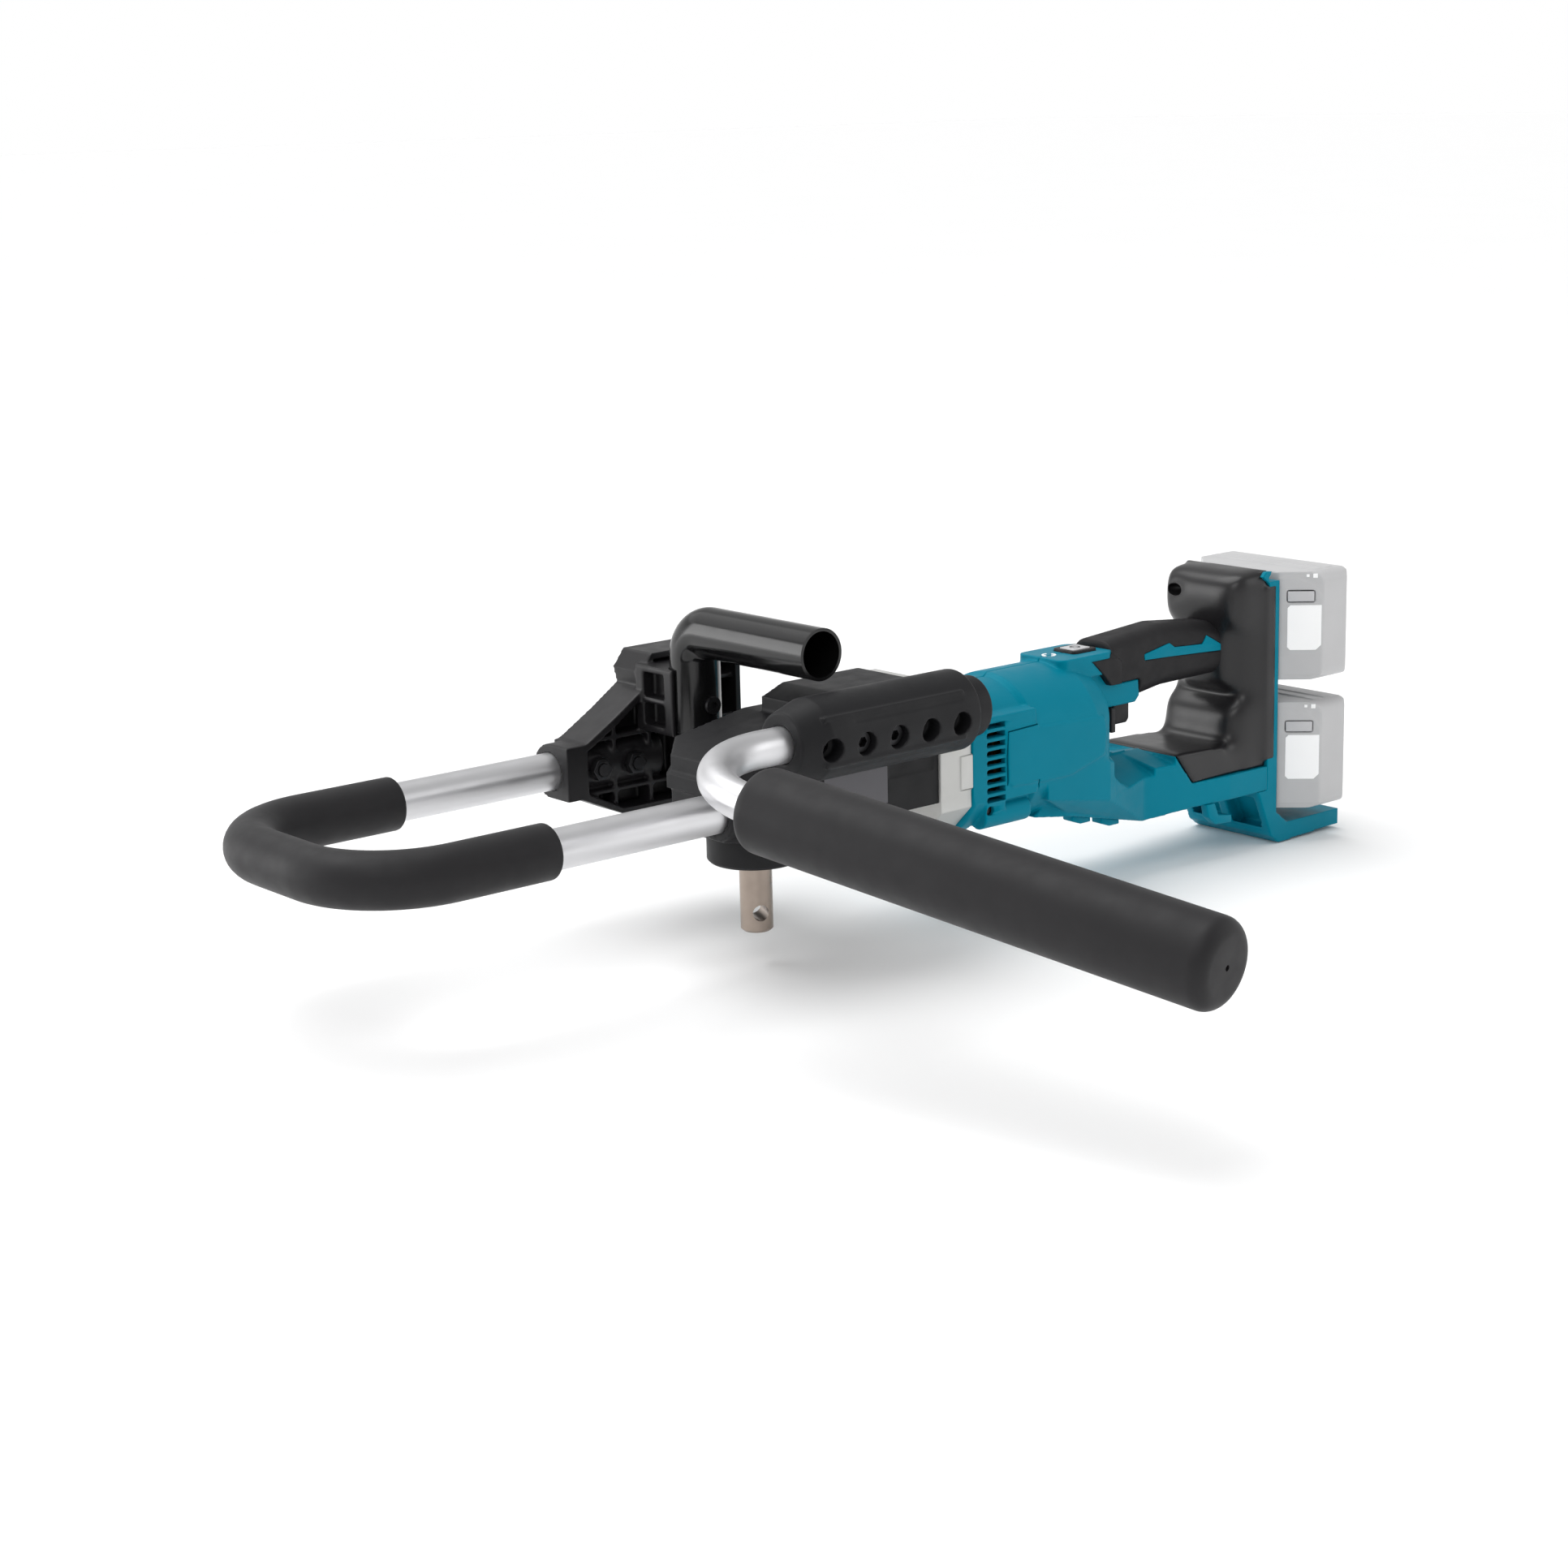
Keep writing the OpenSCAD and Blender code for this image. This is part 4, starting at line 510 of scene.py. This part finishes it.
def holder_beads(obj):
    for y, z in BEADS:
        clear()
        bpy.ops.mesh.primitive_cylinder_add(vertices=16, radius=BEAD_R * MM,
                                            depth=(BEAD_X[1] - BEAD_X[0]) * MM,
                                            location=Vector(((BEAD_X[0] + BEAD_X[1]) / 2, y, z)) * MM,
                                            rotation=(0, math.pi / 2, 0))
        carve(obj, named("bead"), "UNION")


def clamp_pockets(obj):
    for low, high in CLAMP_POCKETS:
        carve(obj, block(low, high))


softened("gear_case", "machine", cell_mm=1.0, passes=3, share=0.25, shape=case_step)
softened("handle_holder", "machine", cell_mm=0.8, passes=2, share=0.3, shape=holder_beads)
softened("reaction_bracket", "machine", cell_mm=1.0, passes=2, share=0.3, shape=clamp_pockets)

# %% [markdown]
# The pale casting behind the gear head has a flat raised pad on its side, where the mould's core was
# held. The teal battery mount ends in a small hooked tip over the cover, on the side grip's side. Both
# are flat shapes that are extruded and joined to the copy before its edges are rounded.

# %% Casting and battery mount
PAD = ((129.2, -44.8, 27.3), (140, -43, 49))
CASTING_ROUND = 0.8
MOUNT_TIP = ((425, 100), (425, 118), (417, 124), (420.3, 127.6), (426.6, 127), (422.7, 121.5), (429.7, 114.7),
             (432, 106.7), (433, 100))
TIP_Y = (-38, -34.5)


def casting_pad(obj):
    carve(obj, block(*PAD), "UNION")


def mount_tip(obj):
    carve(obj, plate(MOUNT_TIP, *TIP_Y), "UNION")


bevelled("rear_casting", "machine", CASTING_ROUND, casting_pad)
softened("battery_mount", "machine", cell_mm=1.0, passes=2, share=0.3, shape=mount_tip)

# %% [markdown]
# A blank foil plate is stuck to the side of the gear case. It is a thin block with its cut edges broken
# by a small bevel, so that a line of light runs round it.

# %% Rating plate, bare
PLATE = ((20, -42.4, 30), (70.5, -41.8, 53))
PLATE_EDGE = 0.2 * MM

foil = block(*PLATE)
foil.name = "rating_plate"
edge = foil.modifiers.new("corner", "BEVEL")
edge.width = PLATE_EDGE
edge.segments = 2
apply_all(foil)
seat(foil, "machine", "dark_steel", plate_foil)

# %% [markdown]
# ## Motor housing
# The motor housing is two halves, joined along the middle. Rounding each half by itself leaves the fine
# groove that a real joint shows. A web runs from the barrel's side into the arm and is blended in. The
# lowest slot of the solid is filled, because a screw's pit takes its place. On the side, thin grooves
# part the front frame, the side panel and the screw boss, and nine slots let the fan's air out. Each
# groove is a strip along a path, extruded to a cutter, and grooves and slots are cut after the rounding,
# so that they stay crisp.

# %% Motor housing
GROOVE = 0.9
GROOVE_Y = (44.2, 52)
PANEL_EDGE = ((195.4, 70.4), (195.4, 59.4), (169.3, 58.4), (168.5, 41.8), (168.9, 24))
BOSS_EDGE = ((195.8, 23.6), (197, 16.3), (193, 3.8))
SCREW_PLACE = (154.7, 9.8)
PIT_R = 3.1
PIT_Y = (-50, -40)
VENTS = 9
VENT_X = (151.8, 167.2)
VENT_PITCH = 5.9
VENT_H = 3.4
VENT_LOW = 15.2
VENT_Y = (36, 52)
FILLED_SLOT = ((151, 38, 8.8), (168, 44.4, 13.2))
ROOT_WEB = ((250, 36), (262, 24), (268, 13), (277, 6.5), (289, 0.5), (302, -2.5), (302, -12),
            (262, -1.5), (250, 1))
ROOT_WEB_Y = (28, 44.8)
ROOT_TAPER_X = 262 * MM
ROOT_TAPER = 0.33
ROOT_OUTER_Y = 40 * MM
ROOT_PASSES = 6


def arm_blend(point):
    return zone_weight(point, front=(252, 10), rear=(300, 12), low=(-6, 8), high=(44, 8))


for node in ("housing_left", "housing_right"):
    low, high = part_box(node)
    side = 1 if low[1] + high[1] > 0 else -1

    def root_and_slot(obj):
        filling = side_block(side, *FILLED_SLOT)
        web = plate(ROOT_WEB, side * ROOT_WEB_Y[0], side * ROOT_WEB_Y[1])
        for vertex in web.data.vertices:
            if abs(vertex.co.y) > ROOT_OUTER_Y:
                vertex.co.y -= side * max(0, vertex.co.x - ROOT_TAPER_X) * ROOT_TAPER
        joined([obj, web, filling])

    half = softened(node, "machine", cell_mm=0.9, passes=2, share=0.3, shape=root_and_slot,
                    blend=(ROOT_PASSES, arm_blend))
    grooves = [plate(strip(path, GROOVE), side * GROOVE_Y[0], side * GROOVE_Y[1])
               for path in (PANEL_EDGE, BOSS_EDGE)]
    slots = []
    for i in range(VENTS):
        z = VENT_LOW + VENT_PITCH * i
        slots.append(side_block(side, (VENT_X[0], VENT_Y[0], z), (VENT_X[1], VENT_Y[1], z + VENT_H)))
    carve(half, joined(grooves + slots))
    if side < 0:
        carve(half, rod_y(SCREW_PLACE, PIT_R, *PIT_Y))

# %% [markdown]
# A small screw sits in a pit at the front of the lower boss. Its head is a short rod with a rounded rim
# and a round socket, which is inset from the flat end and pushed in. The thread can't be seen, so there
# is none.

# %% Screw in the boss
SCREW_R = 2.7
SCREW_Y = (-41.9, -39.5)
SCREW_RIM = 0.4 * MM
SOCKET_INSET = 0.9 * MM
SOCKET_DEPTH = 1 * MM
FACING = 0.9

boss_screw = rod_y(SCREW_PLACE, SCREW_R, *SCREW_Y)
boss_screw.name = "boss_screw"
select_faces(boss_screw, lambda face: face.normal.y < -FACING)
bpy.ops.mesh.bevel(offset=SCREW_RIM, segments=3, affect="EDGES")
bpy.ops.mesh.inset(thickness=SOCKET_INSET)
bpy.ops.mesh.extrude_region_move(TRANSFORM_OT_translate={"value": (0, SOCKET_DEPTH, 0)})
bpy.ops.object.mode_set(mode="OBJECT")
bpy.ops.object.shade_smooth_by_angle(angle=EDGE_ANGLE)
seat(boss_screw, "machine", "dark_steel", black_oxide)

# %% [markdown]
# The push button carries the plain ring and bar of a mains switch, and the panel beside it a broken ring
# that stands for turning. Each mark is a flat ring, made by an inset, with some of its faces taken out.

# %% Marks on the panel and the button
MARK_T = 0.15
MARK_SINK = 0.02
BUTTON_RING = (3.6, 1.1)
BUTTON_GAPS = ((150, 210),)
BAR_X = (-4.2, -1.2)
BAR_HALF_W = 0.3
TURN_PLACE = (251, 0, 89.2)
TURN_RING = (4.8, 1.5)
TURN_MARK_T = 0.7
TURN_GAPS = ((20, 70), (200, 250))


def ring_mark(name, centre, radius, width, height, gaps):
    clear()
    middle = Vector(centre) * MM
    bpy.ops.mesh.primitive_circle_add(vertices=36, radius=radius * MM, fill_type="NGON", location=middle)
    mark = named(name)
    bpy.ops.object.mode_set(mode="EDIT")
    bpy.ops.mesh.select_mode(type="FACE")
    bpy.ops.mesh.select_all(action="SELECT")
    bpy.ops.mesh.inset(thickness=width * MM)
    bpy.ops.mesh.delete(type="FACE")
    bpy.ops.object.mode_set(mode="OBJECT")

    def in_gap(face):
        spot = face.center - middle
        angle = math.degrees(math.atan2(spot.y, spot.x)) % 360
        return any(low < angle < high for low, high in gaps)

    select_faces(mark, in_gap)
    bpy.ops.mesh.delete(type="FACE")
    bpy.ops.mesh.select_all(action="SELECT")
    bpy.ops.mesh.extrude_region_move(TRANSFORM_OT_translate={"value": (0, 0, height * MM)})
    bpy.ops.mesh.select_all(action="SELECT")
    bpy.ops.mesh.normals_make_consistent(inside=False)
    bpy.ops.object.mode_set(mode="OBJECT")
    return mark


low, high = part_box("power_button")
button_x = (low[0] + high[0]) / 2 / MM
button_top = high[2] / MM - MARK_SINK
ring = ring_mark("button_mark", (button_x, 0, button_top), *BUTTON_RING, MARK_T, BUTTON_GAPS)
bar = block((button_x + BAR_X[0], -BAR_HALF_W, button_top),
            (button_x + BAR_X[1], BAR_HALF_W, button_top + MARK_T))
seat(joined([ring, bar]), "power_button", "black_plastic", black_nylon)
turn_mark = ring_mark("turn_mark", TURN_PLACE, *TURN_RING, TURN_MARK_T, TURN_GAPS)
seat(turn_mark, "machine", "white_label", label_film)

# %% [markdown]
# ## Battery cover
# The battery cover is the most sculpted piece. Behind the hand grip it flares out to the mounting plate,
# and all its edges are generously round. It could be drawn as one subdivided cage, but the solid already
# has the right sizes, so a flared block is joined to its copy, and many passes of relaxing blend it in.
# A rim laps over the sides of the mounting plate and stays where it is. A small half-round recess is
# cut last, so that its edge stays sharp.

# %% Battery cover
COVER_REAR = 424 * MM
COVER_FOOT = -7 * MM
FLARE_MIDDLE = Vector((409.5, 0, 74)) * MM
FLARE_SIZE = Vector((29, 70, 80)) * MM
FLARE_FRONT = (1, 0.56, 0.6)
RIM_LOW = (420, 33, -3)
RIM_FAR = (430.4, 38.5)
RIM_TOP = {-1: 117, 1: 104}
RIM_HELD = 1.5 * MM
FREE_CORNER_Y = 15 * MM
FREE_CORNER_Z = 100 * MM
COVER_PASSES = 260
RECESS_PLACE = (395, 22, 112)
RECESS_R = 7
RECESS_SHAPE = (1.3, 1.1, 0.6)


def cover_flare(obj):
    clear()
    bpy.ops.mesh.primitive_cube_add(size=1, location=FLARE_MIDDLE, scale=FLARE_SIZE)
    flare = named("flare")
    select_where(flare, lambda point: point.x < FLARE_MIDDLE.x)
    bpy.ops.transform.resize(value=FLARE_FRONT, center_override=FLARE_MIDDLE)
    bpy.ops.object.mode_set(mode="OBJECT")
    carve(obj, flare, "UNION")
    for side in (-1, 1):
        carve(obj, side_block(side, RIM_LOW, (*RIM_FAR, RIM_TOP[side])), "UNION")


def held_rim(point):
    free_corner = point.y > FREE_CORNER_Y and point.z > FREE_CORNER_Z
    return point.z < COVER_FOOT or (point.x > COVER_REAR - RIM_HELD and not free_corner)


def cover_blend(point):
    return zone_weight(point, front=(382, 14), rear=(421, 5), low=(-6, 12))


cover = softened("battery_shell", "machine", cell_mm=1.4, passes=12, share=1.0, shape=cover_flare,
                 keep=held_rim, blend=(COVER_PASSES, cover_blend))
cover.data.materials[0] = cover_nylon
clear()
bpy.ops.mesh.primitive_uv_sphere_add(segments=32, ring_count=16, radius=RECESS_R * MM,
                                     location=Vector(RECESS_PLACE) * MM, scale=RECESS_SHAPE)
carve(cover, named("recess"))

# %% [markdown]
# The hand grip is soft rubber moulded over the handle's core. At its front a collar closes round the neck
# behind the barrel, and it stops above the trigger's guard, which stays bare. The collar is an outline
# seen from the side, extruded across, and the guard's room is cut from the copy on both sides.

# %% Hand grip
GRIP_COLLAR = ((269, 85), (292, 85.5), (297, 82), (297, 66.5), (287, 66.5), (281.5, 73), (275, 79.5))
COLLAR_HALF_W = 22
GUARD_ROOM = ((270, 16.9, 45), (320, 30, 66.4))


def grip_collar(obj):
    carve(obj, plate(GRIP_COLLAR, -COLLAR_HALF_W, COLLAR_HALF_W), "UNION")
    for side in (-1, 1):
        carve(obj, side_block(side, *GUARD_ROOM))


softened("handle_grip", "machine", cell_mm=1.0, passes=6, share=0.4, shape=grip_collar)

# %% [markdown]
# ## Battery packs
# A pack is a moulded box with one corner cut off at a slant, which carries a blank label inside an
# arched, slightly raised field. Flat ribs stiffen its top. The field and the ribs are extruded flat
# shapes, joined to the copy before one skin is drawn over all of it. The label is a sheet of film with
# two small marks above it.

# %% Packs
PACK_FACE = (448, -45)
PACK_SLANT = math.radians(-45)
PACK_TOP = 37.5
FIELD = ((-15.2, -34), (15, -34), (15, 14), (14, 20), (11, 25.5), (6, 29.5), (-1, 32), (-8, 33), (-15.2, 33))
FIELD_Y = (1, -0.5)
LATCH_ROOM = ((-9.5, -6, 16.4), (9.5, 8.6, 24.6))
RIBS_X = ((460, 467), (471, 478))
RIB_HALF_W = 47
RIB_Z = (PACK_TOP - 1, PACK_TOP + 0.7)
LABEL = ((-9, -14.5), (-7, -16.5), (10.5, -16.5), (14, -13), (14, 14.5), (-7, 14.5), (-9, 12.5))
MARKS = (((3.5, 33.8), (5.5, 33.8), (5.5, 35.6), (3.5, 35.6)), ((8, 33.2), (11, 33.2), (11, 36), (8, 36)))
LABEL_Y = (0.4, -0.8)
FILM_EDGE = 0.15 * MM


def on_pack_face(obj, z):
    pick(obj)
    obj.location = Vector((*PACK_FACE, z)) * MM
    obj.rotation_euler = (0, 0, PACK_SLANT)
    bpy.ops.object.transform_apply(location=True, rotation=True, scale=True)
    return obj


for body in ("upper_pack", "lower_pack"):
    low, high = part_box(body)
    middle = (low[2] + high[2]) / 2 / MM

    def pack_shape(obj):
        carve(obj, on_pack_face(plate(FIELD, *FIELD_Y), middle), "UNION")
        for front_x, rear_x in RIBS_X:
            rib = block((front_x, -RIB_HALF_W, middle + RIB_Z[0]), (rear_x, RIB_HALF_W, middle + RIB_Z[1]))
            carve(obj, rib, "UNION")
        carve(obj, on_pack_face(block(*LATCH_ROOM), middle))

    softened(body, body, cell_mm=0.8, passes=3, share=0.3, shape=pack_shape)
    film = joined([on_pack_face(plate(points, *LABEL_Y), middle) for points in (LABEL, *MARKS)])
    film.name = body + "_film"
    edge = film.modifiers.new("cut edge", "BEVEL")
    edge.width = FILM_EDGE
    edge.segments = 2
    apply_all(film)
    seat(film, body, "white_label", label_film, body.replace("pack", "label"))

# %% [markdown]
# ## Reversing lever
# A finger pushes this small lever over to turn the spindle the other way. Its corners are too close
# together for a bevel, so its copy gets one fine skin, relaxed twice.

# %% Reversing lever
lever = welded_copy("reversing_lever")
soften(lever, cell_mm=0.6, passes=2, share=0.5)
seat(lever, "reversing_lever", "black_plastic", black_nylon, "reversing_lever")

# %% [markdown]
# ## Foam sleeve of the loop handle
# The sleeve is a thick foam tube pushed over the bent aluminium tube. By hand it is a circle that is
# extruded along each straight run and spun through each bend, as a tube bender would lead it. A curve
# with a round section would be quicker, but extruding keeps the rings where the bends begin and end.

# %% Foam sleeve of the loop
LOOP_NEAR_Y = -20 * MM
LOOP_FAR_Y = 140 * MM
LOOP_Z = 40 * MM
LOOP_FRONT_X = -287 * MM
LOOP_BEND = 58 * MM
FOAM_END_X = -166 * MM
FOAM_R = 16.5 * MM
TUBE_R = 12.1 * MM
LIP = 2.0 * MM
RUN_STEPS = 4
BEND_STEPS = 20

clear()
start = Vector((FOAM_END_X - LIP, LOOP_NEAR_Y, LOOP_Z))
bpy.ops.mesh.primitive_circle_add(vertices=40, radius=FOAM_R, location=start, rotation=(0, math.pi / 2, 0))
sleeve = named("loop_sleeve")
bpy.ops.object.mode_set(mode="EDIT")
bpy.ops.mesh.select_all(action="SELECT")
run = LOOP_FRONT_X + LOOP_BEND - start.x
across = LOOP_FAR_Y - LOOP_NEAR_Y - 2 * LOOP_BEND
for step in range(RUN_STEPS):
    bpy.ops.mesh.extrude_edges_move(TRANSFORM_OT_translate={"value": (run / RUN_STEPS, 0, 0)})
bpy.ops.mesh.spin(steps=BEND_STEPS, angle=math.pi / 2, axis=(0, 0, 1),
                  center=(LOOP_FRONT_X + LOOP_BEND, LOOP_NEAR_Y + LOOP_BEND, LOOP_Z))
bpy.ops.mesh.extrude_edges_move(TRANSFORM_OT_translate={"value": (0, across, 0)})
bpy.ops.mesh.spin(steps=BEND_STEPS, angle=math.pi / 2, axis=(0, 0, 1),
                  center=(LOOP_FRONT_X + LOOP_BEND, LOOP_FAR_Y - LOOP_BEND, LOOP_Z))
for step in range(RUN_STEPS):
    bpy.ops.mesh.extrude_edges_move(TRANSFORM_OT_translate={"value": (-run / RUN_STEPS, 0, 0)})
print("sleeve", [round(v / MM, 1) for v in sleeve.dimensions])

# %% [markdown]
# Foam that is cut and pushed on turns in to the tube with a small soft lip. The open ring at each end is
# extruded forward in short steps, each a little smaller than the last, and then drawn in to the tube.
# At the end the skin gets a very thin wall, so that it is closed.

# %% Lips at the sleeve's ends
LIP_STEPS = ((0.45, 0.10), (0.80, 0.38), (1.0, 1.0))
NEAR_END = 0.1 * MM
SLEEVE_WELD = 0.01 * MM
SKIN_WALL = 0.05 * MM
SLEEVE_EDGE_ANGLE = math.radians(50)

for leg_y in (LOOP_NEAR_Y, LOOP_FAR_Y):
    def on_end_ring(point):
        return abs(point.x - start.x) < NEAR_END and abs(point.y - leg_y) < 2 * FOAM_R

    select_where(sleeve, on_end_ring)
    done, radius = 0.0, FOAM_R
    for forward, inward in LIP_STEPS:
        bpy.ops.mesh.extrude_edges_move(TRANSFORM_OT_translate={"value": ((forward - done) * LIP, 0, 0)})
        shrink = (FOAM_R - inward * LIP) / radius
        bpy.ops.transform.resize(value=(1, shrink, shrink), center_override=(0, leg_y, LOOP_Z))
        done, radius = forward, FOAM_R - inward * LIP
    bpy.ops.mesh.extrude_edges_move(TRANSFORM_OT_translate={"value": (0, 0, 0)})
    shrink = TUBE_R / radius
    bpy.ops.transform.resize(value=(1, shrink, shrink), center_override=(0, leg_y, LOOP_Z))
    bpy.ops.object.mode_set(mode="OBJECT")
pick(sleeve)
bpy.ops.object.mode_set(mode="EDIT")
bpy.ops.mesh.select_all(action="SELECT")
bpy.ops.mesh.remove_doubles(threshold=SLEEVE_WELD)
bpy.ops.mesh.normals_make_consistent(inside=False)
bpy.ops.object.mode_set(mode="OBJECT")
skin = sleeve.modifiers.new("foam wall", "SOLIDIFY")
skin.thickness = SKIN_WALL
apply_all(sleeve)
bpy.ops.object.shade_smooth_by_angle(angle=SLEEVE_EDGE_ANGLE)
seat(sleeve, "machine", "foam", foam_skin, "loop_foam")

# %% [markdown]
# ## Foam grip of the side handle
# The grip is a thick foam cylinder on the tube's outer leg. Its ends are well rounded, and a small hole
# in the outer end lets the air out when it is pushed on. The leg is swept back and tilted down a little,
# so the cylinder is laid along a line instead of an axis.

# %% Foam grip of the side handle
GRIP_START = Vector((-108.588, -135.751, 75.200)) * MM
GRIP_LINE = Vector((0.15643, -0.98032, -0.12037)).normalized()
GRIP_LENGTH = 301 * MM
GRIP_R = 24.2 * MM
GRIP_END_R = 9 * MM
AIR_HOLE_R = 1.6 * MM
AIR_HOLE_DEPTH = 6 * MM
ON_FLAT_END = 0.05 * MM
GRIP_EDGE_ANGLE = math.radians(40)

clear()
bpy.ops.mesh.primitive_cylinder_add(vertices=96, radius=GRIP_R, depth=GRIP_LENGTH,
                                    location=GRIP_START + GRIP_LINE * GRIP_LENGTH / 2,
                                    rotation=GRIP_LINE.to_track_quat("Z", "Y").to_euler())
side_grip = named("side_grip_foam")


def along_grip(point):
    return (point - GRIP_START).dot(GRIP_LINE)


for end in (0, GRIP_LENGTH):
    select_where(side_grip, lambda point: abs(along_grip(point) - end) < NEAR_END)
    bpy.ops.mesh.bevel(offset=GRIP_END_R, segments=10, affect="EDGES")
    bpy.ops.object.mode_set(mode="OBJECT")
select_where(side_grip, lambda point: along_grip(point) > GRIP_LENGTH - ON_FLAT_END)
bpy.ops.mesh.inset(thickness=GRIP_R - GRIP_END_R - AIR_HOLE_R)
bpy.ops.mesh.extrude_region_move(TRANSFORM_OT_translate={"value": -GRIP_LINE * AIR_HOLE_DEPTH})
bpy.ops.object.mode_set(mode="OBJECT")
pick(side_grip)
bpy.ops.object.shade_smooth_by_angle(angle=GRIP_EDGE_ANGLE)
seat(side_grip, "machine", "foam", foam_skin, "side_grip")

# %% [markdown]
# ## Floor, light and room
# The picture has a plain pale ground and soft light from large panels. The floor lies just under the
# machine's lowest point, and it is so large that its edge is never seen.

# %% Floor
FLOOR_SIDE = 60
FLOOR_GAP = 0.5 * MM

studio_floor = grained("matt_paper_floor", "#FAFAFA", "#F8F8F8", 400, (0.75, 0.85), 30, 0.01)
clear()
bpy.ops.mesh.primitive_plane_add(size=FLOOR_SIDE, location=(0, 0, cad_box[0][2] - FLOOR_GAP))
floor = named("studio_floor")
floor.data.materials.append(studio_floor)
print("floor at", round(cad_box[0][2] - FLOOR_GAP, 4))

# %% [markdown]
# Four square panels stand round the machine, as softboxes would in a studio: the key above the camera,
# one to its right, one to its left, and one behind the machine. A sun with a wide angle stands for a
# white ceiling and gives the soft shadow on the floor.

# %% Light
AIM = (0.1, 0, 0.03)
AIM_HIGHER = (0.1, 0, 0.05)
CEILING_STRENGTH = 1.7
CEILING_SPREAD = math.radians(50)
CEILING_TILT = (math.radians(-18), math.radians(-8), 0)


def softbox(name, place, target, side, power):
    light = bpy.data.lights.new(name, "AREA")
    light.shape = "SQUARE"
    light.size = side
    light.energy = power
    obj = bpy.data.objects.new(name, light)
    bpy.context.scene.collection.objects.link(obj)
    obj.location = place
    obj.rotation_euler = (Vector(target) - Vector(place)).to_track_quat("-Z", "Y").to_euler()


softbox("key_panel", place=(-1.3, -1.1, 1.7), target=AIM, side=1.2, power=10)
softbox("side_panel", place=(1.6, -1.5, 1.0), target=AIM, side=1.2, power=6)
softbox("back_panel", place=(-0.2, 1.7, 1.6), target=AIM, side=1.5, power=4)
softbox("left_panel", place=(-1.5, 1.5, 0.55), target=AIM_HIGHER, side=1.2, power=16)
sky = bpy.data.lights.new("ceiling_light", "SUN")
sky.energy = CEILING_STRENGTH
sky.angle = CEILING_SPREAD
ceiling = bpy.data.objects.new("ceiling_light", sky)
bpy.context.scene.collection.objects.link(ceiling)
ceiling.rotation_euler = CEILING_TILT
print("lights:", len(bpy.data.lights))

# %% [markdown]
# The room is white at the height of the horizon, so that floor and wall meet without a line, and grey
# towards the ceiling, so that dark surfaces stay dark.

# %% Room
HORIZON = 0.06
CEILING_EDGE = 0.3
WALL_STRENGTH = 1.0
CEILING_GREY = 0.55

room = bpy.data.worlds.new("pale_room")
bpy.context.scene.world = room
room.use_nodes = True
room.node_tree.nodes.clear()
ray = add(room, "ShaderNodeTexCoord").outputs["Generated"]
height = add(room, "ShaderNodeSeparateXYZ", {"Vector": ray}).outputs["Z"]
fade = add(room, "ShaderNodeMapRange",
           {"Value": height, "From Min": HORIZON, "From Max": CEILING_EDGE,
            "To Min": WALL_STRENGTH, "To Max": CEILING_GREY})
backdrop = add(room, "ShaderNodeBackground",
               {"Color": colour("#FFFFFF"), "Strength": fade.outputs["Result"]})
add(room, "ShaderNodeOutputWorld", {"Surface": backdrop.outputs["Background"]})
print("room ready")
